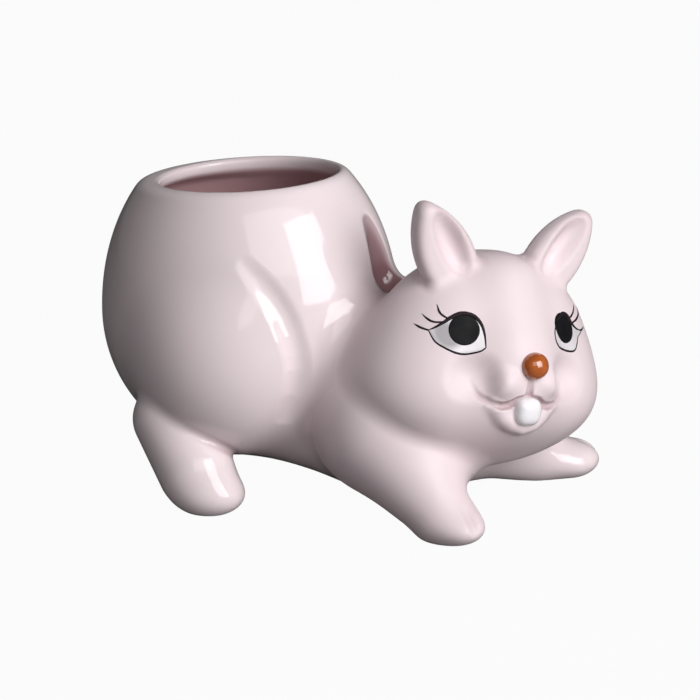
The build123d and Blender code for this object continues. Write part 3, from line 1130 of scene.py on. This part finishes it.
class Board:
    """Lays the nodes and links of one tree."""

    def __init__(self, tree: bpy.types.NodeTree) -> None:
        """Takes the tree."""
        self.tree = tree

    def node(
        self, kind: str, settings: dict[str, object] | None = None,
        inputs: "dict[str | int, Wire | object] | None" = None, output: str | int = 0,
    ) -> Wire:
        """Adds a node.

        Args:
            kind: the node's type.
            settings: its own settings, which are set first.
            inputs: values or links of its input sockets, by name or number.
            output: the output socket that is wanted.

        Returns:
            That output.
        """
        node = self.tree.nodes.new(kind)
        for name, value in (settings or {}).items():
            setattr(node, name, value)
        for name, value in (inputs or {}).items():
            if isinstance(value, Wire):
                self.tree.links.new(value.socket, node.inputs[name])
            else:
                node.inputs[name].default_value = value
        return Wire(self, node.outputs[output])

    def noise(self, scale: float, detail: float) -> Wire:
        """Soft noise on the object's own coordinates."""
        place = self.node("ShaderNodeTexCoord", output="Object")
        return self.node("ShaderNodeTexNoise", inputs={"Vector": place, "Scale": scale, "Detail": detail})

    def carried(self, label: str) -> Wire:
        """A value that the mesh carries at its points."""
        return self.node("ShaderNodeAttribute", {"attribute_name": label}, output="Fac")

    def mix(self, factor: "Wire | float", first: object, second: object) -> Wire:
        """A colour between two others."""
        return self.node("ShaderNodeMix", {"data_type": "RGBA"}, {0: factor, 6: first, 7: second}, output=2)

    def close(self, result: Wire, kind: str = "ShaderNodeOutputMaterial") -> None:
        """Joins a result to the tree's output node."""
        self.tree.links.new(result.socket, self.tree.nodes.new(kind).inputs[0])


def srgb(red: float, green: float, blue: float) -> Colour:
    """A linear colour.

    Args:
        red: the red of a picture of it, from 0 to 255.
        green: the green.
        blue: the blue.

    Returns:
        The colour, with an alpha of 1.
    """
    parts = [value / 255 for value in (red, green, blue)]
    linear = [part / 12.92 if part <= 0.04045 else ((part + 0.055) / 1.055) ** 2.4 for part in parts]
    return linear[0], linear[1], linear[2], 1.0


def fresh_material(name: str) -> tuple[Material, Board]:
    """A new material with an empty node tree.

    Args:
        name: the material's name.

    Returns:
        The material, and the board that lays its nodes.
    """
    material = bpy.data.materials.new(name)
    material.use_nodes = True
    material.node_tree.nodes.clear()
    return material, Board(material.node_tree)


@dataclass(frozen=True)
class Glaze:
    """A glossy blush-white glaze over bare clay that pools darker in creases, where painted shade darkens it
    further, and thins on edges.
    """

    name: str = "blush_white_glaze"
    flat: Colour = srgb(238, 223, 226)
    # The satin castings' colour, a painted shade darker than the rest.
    satin_shade: Colour = srgb(229, 213, 217)
    # Creases: partly glaze that pools, partly painted shade.
    pooled_and_shaded: Colour = srgb(188, 165, 169)
    # The darkest painted shade, in the fold over the neck and the tightest creases.
    deepest_pool_and_shade: Colour = srgb(138, 102, 106)
    thin: Colour = srgb(243, 232, 234)
    # The cavity's wall, painted darker: painted shade.
    inner: Colour = srgb(203, 163, 167)
    clay: Colour = srgb(222, 209, 196)
    pools_and_shades_over: Pair = (0.06, 0.75)
    deepens_over: Pair = (0.9, 1.9)
    thins_over: Pair = (-0.05, -0.45)
    ior: float = 1.38
    coat: float = 0.25
    coat_roughness: float = 0.04
    roughness: float = 0.1
    satin_roughness: float = 0.42
    satin_coat: float = 0.0
    clay_roughness: float = 0.85
    sole_height: float = 0.35 * MM
    mottle: float = 0.12
    mottle_grain: Pair = (45.0, 3.0)
    ripple: float = 0.03
    ripple_grain: Pair = (160.0, 1.0)

    def material(self) -> Material:
        """Lays the glaze's nodes.

        Returns:
            The new material.
        """
        material, board = fresh_material(self.name)
        place = board.node("ShaderNodeTexCoord", output="Object")
        height = board.node("ShaderNodeSeparateXYZ", inputs={0: place}, output="Z")
        sole = 1 - height.ramp(self.sole_height, 2 * self.sole_height)
        satin = board.carried("satin")
        # The crease measure with a little mottle; high values darken the glaze as painted shade.
        flow_and_shade_measure = board.carried("pooling") + (board.noise(*self.mottle_grain) - 0.5) * self.mottle
        # The head, ears and near foreleg start a painted shade darker.
        colour = board.mix(satin, self.flat, self.satin_shade)
        # Darker in creases (glaze and painted shade), paler on edges, painted shade in the fold and the
        # cavity, bare clay on the soles.
        for share, shade in (
            (flow_and_shade_measure.ramp(*self.pools_and_shades_over), self.pooled_and_shaded), (flow_and_shade_measure.ramp(*self.thins_over), self.thin),
            (flow_and_shade_measure.ramp(*self.deepens_over), self.deepest_pool_and_shade), (board.carried("inside"), self.inner),
            (sole, self.clay),
        ):
            colour = board.mix(share, colour, shade)
        bump = board.node("ShaderNodeBump", inputs={
            "Strength": self.ripple, "Distance": MM, "Height": board.noise(*self.ripple_grain)})
        smooth = satin.ramp(0, 1, self.roughness, self.satin_roughness)
        board.close(board.node("ShaderNodeBsdfPrincipled", inputs={
            "Base Color": colour,
            "Roughness": smooth + sole * self.clay_roughness,
            "IOR": self.ior,
            "Coat Weight": (1 - sole) * satin.ramp(0, 1, self.coat, self.satin_coat),
            "Coat Roughness": self.coat_roughness,
            "Normal": bump,
        }))
        return material


@dataclass(frozen=True)
class Enamel:
    """A fired enamel, its colour a little uneven, with a painted shade where the mesh carries one."""

    name: str
    colour: Colour
    deep: Colour
    roughness: float = 0.12
    coat: float = 1.0
    coat_roughness: float = 0.04
    ior: float = 1.5
    grain: Pair = (260.0, 2.0)
    deepens_over: Pair = (0.3, 0.7)
    # The eye white's painted shade beside the pupil.
    shaded: Colour = srgb(150, 144, 148)

    def material(self) -> Material:
        """Lays the enamel's nodes.

        Returns:
            The new material.
        """
        material, board = fresh_material(self.name)
        colour = board.mix(board.noise(*self.grain).ramp(*self.deepens_over), self.colour, self.deep)
        # The base colour greys by the mesh's painted shade.
        board.close(board.node("ShaderNodeBsdfPrincipled", inputs={
            "Base Color": board.mix(board.carried("shade").ramp(0, 1), colour, self.shaded),
            "Roughness": self.roughness,
            "IOR": self.ior,
            "Coat Weight": self.coat,
            "Coat Roughness": self.coat_roughness,
        }))
        return material


WHITE_ENAMEL = Enamel("eye_white_enamel", srgb(232, 227, 231), srgb(226, 220, 225))
TOOTH_ENAMEL = Enamel("tooth_enamel", srgb(248, 245, 248), srgb(244, 240, 243))
BLACK_ENAMEL = Enamel("pupil_enamel", srgb(20, 20, 22), srgb(26, 26, 28), 0.3, coat=0.0, ior=1.16)
BROWN_ENAMEL = Enamel("nose_enamel", srgb(186, 98, 38), srgb(166, 82, 30))
LINE_ENAMEL = Enamel("lash_line_enamel", srgb(34, 24, 29), srgb(44, 31, 36), 0.4, coat=0.0, ior=1.25)


@dataclass
class Castings:
    """The glazed castings: pot, chest, head, legs and ears, which share one skin."""

    bench: Bench
    planter: Planter
    step: float = 0.9
    quick_step: float = 1.6
    room: float = 1.0

    def build(self) -> dict[str, Object]:
        """Meshes the skin and makes one piece for each casting.

        Returns:
            The pieces, by their nodes' names.
        """
        low, high = joint_box(self.planter.castings.values())
        low, high = low - self.room, high + self.room
        low[2] = -self.room
        skin = SharedSkin(self.planter, low, high, self.step)
        glaze = Glaze().material()
        return {
            node: stand_in(self.bench.piece(f"glazed_{node}", skin.casting(node), glaze), Slot.GLAZE, node)
            for node in self.planter.names}


@dataclass(frozen=True)
class EyeMarks:
    """One painted eye, as places across and up the head's front in millimetres."""

    side: int
    upper: tuple[Pair, ...]
    lower: tuple[Pair, ...]
    pupil: Pair
    lashes: tuple[tuple[Pair, ...], ...]
    # How strong the white's painted shade is: full on the near eye, light on the far one.
    shade: float
    pupil_radius: float = 4.95
    shade_shift: Pair = (4.9, -2.0)
    shade_reach: Pair = (2.4, 5.2)

    def shading(self, marks: Array) -> Array:
        """How strong the painted shade on the white is.

        Args:
            marks: places across and up the head's front.

        Returns:
            One share a place, full round the pupil's outer side.
        """
        middle = np.array(self.pupil) + np.array(self.shade_shift) * (self.side, 1)
        full, none = self.shade_reach
        away = np.linalg.norm(marks - middle, axis=1)
        return self.shade * np.clip((none - away) / (none - full), 0, 1)


RIGHT_EYE = EyeMarks(
    RIGHT,
    ((-28.2, 12.6), (-26.4, 13.7), (-23.8, 15.6), (-21.9, 17.1), (-18.9, 18.6), (-15.7, 18.4),
     (-13.8, 16.6), (-13.1, 13.7), (-13.2, 9.7)),
    ((-13.2, 9.7), (-14.9, 8.3), (-18.5, 7.1), (-21.5, 7.2), (-24.8, 8.4), (-27.0, 9.8), (-28.2, 12.6)),
    (-18.6, 14.0),
    (((-22.6, 16.6), (-24.5, 17.9), (-24.9, 20.3)),
     ((-23.8, 15.6), (-26.5, 15.2), (-28.0, 15.8), (-29.0, 16.9)),
     ((-28.2, 12.6), (-30.0, 13.0), (-31.3, 13.7))),
    1.0)
LEFT_EYE = EyeMarks(
    LEFT,
    ((27.8, 13.0), (24.4, 14.2), (22.0, 16.0), (20.6, 18.0), (18.3, 19.1), (15.2, 17.8), (13.5, 15.9)),
    ((13.5, 15.9), (12.4, 13.7), (12.8, 11.4), (14.6, 9.7), (18.7, 8.3), (22.2, 8.1), (23.9, 9.9),
     (24.9, 11.6), (27.8, 13.0)),
    (17.7, 15.0),
    (((21.2, 17.4), (23.8, 18.4), (26.8, 20.4)),
     ((22.0, 16.0), (25.0, 16.4), (28.6, 17.6), (30.6, 19.0)),
     ((24.4, 14.2), (27.5, 13.2), (31.0, 13.6))),
    0.25)


@dataclass(frozen=True)
class Stroke:
    """A brush stroke: its path, its width, and the share of it in the middle and at the ends."""

    path: Array
    width: float
    taper: Triple

    def widths(self) -> Array:
        """The stroke's width along its path.

        Returns:
            One width for each of the path's points.
        """
        middle, start, end = self.taper
        share = np.linspace(0, 1, len(self.path))
        ends = start + (end - start) * share
        return self.width * (ends + (middle - ends) * np.sin(share * math.pi))


@dataclass
class Brush:
    """Paints slightly raised lines on a piece, by a Geometry Nodes tree."""

    bench: Bench
    carrier: Object
    spacing: float = 0.35
    relief: float = 0.34
    sides: int = 12
    inputs: dict[str, str] = field(default_factory=dict)
    tree: bpy.types.NodeTree = field(init=False)

    SOCKETS = {
        "Paths": "Geometry", "Surface": "Object", "Spacing": "Float", "Relief": "Float", "Sides": "Int",
        "Finish": "Material"}

    def __post_init__(self) -> None:
        """Builds the tree: strokes are laid on the surface and swept with a round section."""
        self.tree = bpy.data.node_groups.new("painted_strokes", "GeometryNodeTree")
        for name, kind in self.SOCKETS.items():
            socket = self.tree.interface.new_socket(name, in_out="INPUT", socket_type=f"NodeSocket{kind}")
            self.inputs[name] = socket.identifier
        self.tree.interface.new_socket("Strokes", in_out="OUTPUT", socket_type="NodeSocketGeometry")
        board = Board(self.tree)
        given = {name: board.node("NodeGroupInput", output=name) for name in self.SOCKETS}
        surface = board.node(
            "GeometryNodeObjectInfo", {"transform_space": "RELATIVE"}, {"Object": given["Surface"]},
            "Geometry")
        paths = board.node("GeometryNodeMeshToCurve", inputs={"Mesh": given["Paths"]})
        paths = board.node(
            "GeometryNodeResampleCurve", {"mode": "LENGTH"}, {"Curve": paths, "Length": given["Spacing"]})
        width = board.node(
            "GeometryNodeInputNamedAttribute", {"data_type": "FLOAT"}, {"Name": "stroke_width"})
        place = board.node("GeometryNodeProximity", {"target_element": "FACES"}, {"Geometry": surface})
        normal = board.node(
            "GeometryNodeSampleNearestSurface", {"data_type": "FLOAT_VECTOR"},
            {"Mesh": surface, "Value": board.node("GeometryNodeInputNormal")})
        sink = width * given["Relief"] - width * 0.5
        offset = board.node("ShaderNodeVectorMath", {"operation": "SCALE"}, {0: normal, "Scale": sink})
        paths = board.node(
            "GeometryNodeSetPosition", inputs={"Geometry": paths, "Position": place, "Offset": offset})
        section = board.node(
            "GeometryNodeCurvePrimitiveCircle", {"mode": "RADIUS"},
            {"Resolution": given["Sides"], "Radius": 1.0})
        swept = board.node("GeometryNodeCurveToMesh", inputs={
            "Curve": paths, "Profile Curve": section, "Scale": width * 0.5, "Fill Caps": True})
        for kind in ("GeometryNodeSetShadeSmooth", "GeometryNodeRealizeInstances"):
            swept = board.node(kind, inputs={"Geometry": swept})
        swept = board.node("GeometryNodeSetMaterial", inputs={"Geometry": swept, "Material": given["Finish"]})
        board.close(swept, "NodeGroupOutput")

    def paint(self, name: str, strokes: Sequence[Stroke], finish: Material) -> Object:
        """Paints strokes as one piece.

        Args:
            name: the piece's name.
            strokes: the strokes in the pot's frame.
            finish: the piece's material.

        Returns:
            The piece, as a plain mesh.
        """
        edges, start = [], 0
        for stroke in strokes:
            edges += [(start + n, start + n + 1) for n in range(len(stroke.path) - 1)]
            start += len(stroke.path)
        points = self.bench.placed(np.vstack([stroke.path for stroke in strokes]))
        paths = bpy.data.meshes.new(f"{name}_paths")
        paths.from_pydata(points.tolist(), edges, [])
        widths = paths.attributes.new("stroke_width", "FLOAT", "POINT")
        widths.data.foreach_set("value", np.concatenate([stroke.widths() for stroke in strokes]) * MM)
        guide = put(f"{name}_guide", paths)
        modifier = guide.modifiers.new("strokes", "NODES")
        modifier.node_group = self.tree
        for label, value in (
            ("Surface", self.carrier), ("Spacing", self.spacing * MM), ("Relief", self.relief),
            ("Sides", self.sides), ("Finish", finish),
        ):
            modifier[self.inputs[label]] = value
        graph = bpy.context.evaluated_depsgraph_get()
        mesh = bpy.data.meshes.new_from_object(guide.evaluated_get(graph))
        bpy.data.objects.remove(guide)
        mesh.name = name
        if not mesh.materials:
            mesh.materials.append(finish)
        return put(name, mesh)


@dataclass(frozen=True)
class Bead:
    """A rounded bead between a ball and a block, in the head's frame."""

    centre: Triple
    halves: Triple
    squareness: float
    tilt: float = 0.0
    detail: int = 5

    def mesh(self) -> Box:
        """The bead's points and triangles.

        Returns:
            Its points in the head's frame, and its triangles, which face outwards.
        """
        ball = bmesh.new()
        bmesh.ops.create_icosphere(ball, subdivisions=self.detail, radius=1.0)
        points = np.array([vertex.co for vertex in ball.verts])
        faces = np.array([[vertex.index for vertex in face.verts] for face in ball.faces])
        ball.free()
        size = (np.abs(points) ** self.squareness).sum(1) ** (1 / self.squareness)
        local = points / size[:, None] * np.array(self.halves) @ turn_matrix(0.0, self.tilt).T
        return local + np.array(self.centre), faces


@dataclass
class Face:
    """What is set or painted on the head: nose, tooth, eye whites, pupils, lid lines and lashes."""

    bench: Bench
    head: HeadSizes
    nose: Bead = Bead((32.4, 0.9, 5.7), (4.3, 4.4, 4.2), 2.15, 20.0)
    tooth: Bead = Bead((31.8, 0.3, -8.6), (4.3, 4.5, 4.5), 2.8)
    white_proud: float = 0.14
    pupil_proud: float = 0.26
    sunk: float = 0.5
    edge: float = 0.55
    rings: int = 14
    base_stride: int = 4
    outline_steps: int = 14
    pupil_points: int = 72
    lid_width: float = 1.05
    upper_taper: Triple = (1.5, 0.35, 0.45)
    lower_taper: Triple = (0.75, 0.5, 0.4)
    lash_width: float = 0.66
    lash_taper: Triple = (1.2, 1.0, 0.15)
    form: Form = field(init=False)

    ROUNDS, LEAST_SLOPE, STRIDE = 24, 0.25, 3.0

    def __post_init__(self) -> None:
        """Makes the head's form."""
        self.form = self.head.form()

    def landed(self, points: Array, aim: Array) -> Array:
        """Points moved onto the head's form along one direction.

        Args:
            points: places in the head's frame, close to its skin.
            aim: the direction, which points out of the head.

        Returns:
            The places on the skin.
        """
        for _ in range(self.ROUNDS):
            value, slope = self.form.slope(points)
            steep = np.maximum(slope @ aim, self.LEAST_SLOPE)
            points = points - np.clip(value / steep, -self.STRIDE, self.STRIDE)[:, None] * aim
        return points

    def on_front(self, marks: Sequence[Sequence[float]]) -> Array:
        """Places on the head's skin that show at marks across and up its front.

        Args:
            marks: the marks, one row each.

        Returns:
            The places in the head's frame.
        """
        marks = np.asarray(marks, float)
        start = np.column_stack([np.full(len(marks), self.head.cranium.halves[0]), marks])
        return self.landed(start, np.array([1.0, 0.0, 0.0]))

    def line(self, marks: Sequence[Pair]) -> Array:
        """A smooth line on the head's skin through marks on its front."""
        return self.on_front(rounded(marks, self.outline_steps))

    def disc(self, middle: Pair, radius: float) -> Array:
        """A circle's edge on the head's skin.

        Args:
            middle: its middle, as a mark on the head's front.
            radius: its radius.

        Returns:
            Places round it in the head's frame.
        """
        centre = self.on_front([middle])
        aim = self.form.normals(centre)[0]
        across = np.cross([0.0, 0.0, 1.0], aim)
        across /= np.linalg.norm(across)
        turn = np.linspace(0, math.tau, self.pupil_points, endpoint=False)[:, None]
        edge = centre + radius * (np.cos(turn) * across + np.sin(turn) * np.cross(aim, across))
        return self.landed(edge, aim)

    def pool(self, outline: Array, proud: float) -> Box:
        """A closed pool of enamel on the head.

        Args:
            outline: its edge, as places on the head's skin.
            proud: how far its middle stands above the skin.

        Returns:
            Its points in the head's frame, and its triangles.
        """
        middle = outline.mean(0)
        aim = self.form.normals(outline).mean(0)
        aim /= np.linalg.norm(aim)
        reach = np.linalg.norm(outline - middle, axis=1).mean()
        inset = np.linspace(0, 1, self.rings) ** 2
        skin = [self.landed(middle + (outline - middle) * (1 - share), aim) for share in inset[:-1]]
        rise = [proud * math.sqrt(1 - (1 - min(share * reach / self.edge, 1)) ** 2) for share in inset]
        top = [layer + aim * lift for layer, lift in zip(skin, rise)]
        base = [layer - aim * self.sunk for layer in skin[::self.base_stride]]
        centre = self.landed(middle[None], aim)
        rings = [*reversed(top), *base]
        points = np.vstack([centre + aim * rise[-1], *rings, centre - aim * self.sunk])
        turn = np.arange(len(outline))
        ahead = np.roll(turn, -1)
        starts = 1 + np.arange(len(rings))[:, None] * len(outline)
        near, near_ahead = (starts[:-1] + turn).ravel(), (starts[:-1] + ahead).ravel()
        far, far_ahead = (starts[1:] + turn).ravel(), (starts[1:] + ahead).ravel()
        last = starts[-1]
        corners = (
            (near, far, far_ahead), (near, far_ahead, near_ahead), (0 * turn, 1 + turn, 1 + ahead),
            (0 * turn + len(points) - 1, last + ahead, last + turn))
        return points, np.vstack([np.column_stack(three) for three in corners])

    def shape(self, mesh: Box) -> Shape:
        """A closed mesh of the head's frame, in the pot's frame.

        Args:
            mesh: its points and its triangles.

        Returns:
            The shape, turned so that its triangles face outwards.
        """
        points, triangles = mesh
        a, b, c = ((points - points.mean(0))[triangles[:, n]] for n in range(3))
        outwards = (a * np.cross(b, c)).sum() > 0
        return Shape(self.hung(points), triangles if outwards else triangles[:, ::-1])

    def hung(self, points: Array) -> Array:
        """Points of the head's frame, in the pot's frame."""
        return self.head.hung(self.form).outward(points)

    def build(self, carrier: Object) -> list[Object]:
        """Makes every piece of the face.

        Args:
            carrier: the head's piece, which the painted lines follow.

        Returns:
            The pieces.
        """
        white, black, line = (enamel.material() for enamel in (WHITE_ENAMEL, BLACK_ENAMEL, LINE_ENAMEL))
        make, brush = self.bench.piece, Brush(self.bench, carrier)
        nose, tooth = self.shape(self.nose.mesh()), self.shape(self.tooth.mesh())
        pieces = [
            stand_in(make("nose_bead", nose, BROWN_ENAMEL.material()), Slot.BROWN, "nose"),
            stand_in(make("front_tooth", tooth, TOOTH_ENAMEL.material()), Slot.WHITE, "tooth")]
        for eye in (RIGHT_EYE, LEFT_EYE):
            side = SIDE_NAMES[eye.side]
            upper, lower = self.line(eye.upper), self.line(eye.lower)
            points, triangles = self.pool(np.vstack([upper[:-1], lower[:-1]]), self.white_proud)
            almond = self.shape((points, triangles))
            # The white's painted shade, carried at its points.
            almond.values["shade"] = eye.shading(points[:, 1:])
            dot = self.shape(self.pool(self.disc(eye.pupil, eye.pupil_radius), self.pupil_proud))
            strokes = [
                Stroke(self.hung(upper), self.lid_width, self.upper_taper),
                Stroke(self.hung(lower), self.lid_width, self.lower_taper)]
            strokes += [
                Stroke(self.hung(self.line(lash)), self.lash_width, self.lash_taper) for lash in eye.lashes]
            pieces += [
                stand_in(make(f"{side}_eye_enamel", almond, white), Slot.WHITE, f"{side}_eye_white"),
                stand_in(make(f"{side}_pupil_dot", dot, black), Slot.BLACK, f"{side}_pupil"),
                stand_in(brush.paint(f"{side}_lid_and_lash_lines", strokes, line), Slot.BLACK)]
        return pieces


@dataclass(frozen=True)
class Lamp:
    """A softbox: where it stands round the object, its size in metres and its power."""

    name: str
    azimuth: float
    elevation: float
    distance: float
    size: Pair
    power: float


@dataclass
class Studio:
    """A pale floor, a softbox at the camera's right, a higher fill beside it and an even sky."""

    bench: Bench
    azimuth: float = 23.0
    elevation: float = 16.0
    distance: float = 1000.0
    target: Triple = (35.4, 0.0, 47.0)
    lens: float = 159.43
    sensor: float = 36.0
    farthest: float = 50.0
    white: Colour = (1.0, 1.0, 1.0, 1.0)
    floor_colour: Colour = srgb(135, 133, 134)
    floor_size: float = 8.0
    floor_glow: float = 0.96
    sky: float = 0.1
    lamps: tuple[Lamp, ...] = (
        Lamp("softbox", 70.0, 24.5, 900.0, (0.50, 0.73), 6.4),
        Lamp("fill", 44.0, 36.0, 1300.0, (1.2, 0.9), 6.5))

    def aimed(
        self, name: str, data: bpy.types.ID, azimuth: float, elevation: float, distance: float,
    ) -> Object:
        """Puts a lamp or the camera round the object and aims it at the target.

        Args:
            name: the new object's name.
            data: its lamp or camera.
            azimuth: degrees round from the side that is seen.
            elevation: degrees up.
            distance: millimetres to the target.

        Returns:
            The new object.
        """
        turn, rise = math.radians(azimuth), math.radians(elevation)
        way = np.array([math.sin(turn) * math.cos(rise), -math.cos(turn) * math.cos(rise), math.sin(rise)])
        target = self.bench.placed(self.target)
        thing = put(name, data)
        thing.location = target + way * distance * MM
        thing.rotation_euler = Vector(-way).to_track_quat("-Z", "Y").to_euler()
        return thing

    def camera(self) -> None:
        """Makes the camera at the photograph's angle."""
        lens = bpy.data.cameras.new("front_camera")
        lens.lens, lens.sensor_width, lens.clip_end = self.lens, self.sensor, self.farthest
        bpy.context.scene.camera = self.aimed(lens.name, lens, self.azimuth, self.elevation, self.distance)

    def light(self, lamp: Lamp) -> None:
        """Makes a softbox that faces the object.

        Args:
            lamp: where it stands, and its size and power.
        """
        light = bpy.data.lights.new(lamp.name, "AREA")
        light.shape, light.size, light.size_y = "RECTANGLE", *lamp.size
        light.energy = lamp.power
        self.aimed(lamp.name, light, lamp.azimuth, lamp.elevation, lamp.distance)

    @staticmethod
    def seen_straight(board: Board) -> Wire:
        """Tells what the camera sees from what lights the object.

        Args:
            board: the board that lays the nodes.

        Returns:
            1 for rays from the camera, also through what is clear, and 0 for the others.
        """
        camera, clear = (
            board.node("ShaderNodeLightPath", output=f"Is {name} Ray") for name in ("Camera", "Transmission"))
        return camera + clear

    def backdrop(self) -> None:
        """Makes the sky: white to the camera and even to the object."""
        world = bpy.data.worlds.new("studio_sky")
        world.use_nodes = True
        world.node_tree.nodes.clear()
        board = Board(world.node_tree)
        strength = self.seen_straight(board).ramp(0, 1, self.sky, 1.0)
        sky = board.node("ShaderNodeBackground", inputs={"Color": self.white, "Strength": strength})
        board.close(sky, "ShaderNodeOutputWorld")
        bpy.context.scene.world = world

    def floor(self) -> None:
        """Makes the pale floor, which keeps the object's shadow."""
        material, board = fresh_material("studio_floor")
        shade = board.node("ShaderNodeBsdfDiffuse", inputs={"Color": self.floor_colour})
        glow = board.node("ShaderNodeEmission", inputs={"Color": self.white, "Strength": 1.0})
        share = self.seen_straight(board) * self.floor_glow
        board.close(board.node("ShaderNodeMixShader", inputs={0: share, 1: shade, 2: glow}))
        mesh = bpy.data.meshes.new("studio_floor")
        half = self.floor_size / 2
        corners = [(-half, -half, 0), (half, -half, 0), (half, half, 0), (-half, half, 0)]
        mesh.from_pydata(corners, [], [(0, 1, 2, 3)])
        mesh.materials.append(material)
        put("studio_floor", mesh)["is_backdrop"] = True

    def build(self) -> None:
        """Sets the whole studio up."""
        self.camera()
        self.floor()
        self.backdrop()
        for lamp in self.lamps:
            self.light(lamp)
        bpy.context.scene.view_settings.view_transform = "Standard"


def note_size(before: tuple[Vector, Vector], after: tuple[Vector, Vector]) -> None:
    """Turns the object's box before and after the dressing into plain lists.

    Args:
        before: the lowest and highest corner of the CAD model.
        after: the lowest and highest corner of the dressed model.
    """
    boxes = {
        label: [[float(value) for value in corner] for corner in box]
        for label, box in (("cad", before), ("dressed", after))}


def main() -> None:
    """Builds the castings, the face and the studio round the frame."""
    logging.basicConfig(level=logging.INFO, format="%(name)s: %(message)s")
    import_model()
    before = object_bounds()
    bench = Bench.at_pot()
    head = HeadSizes()
    castings = Castings(bench, Planter(PotSizes(), ChestSizes(), head)).build()
    Face(bench, head).build(castings["head"])
    Studio(bench).build()
    note_size(before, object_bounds())


if __name__ == "__main__":
    main()
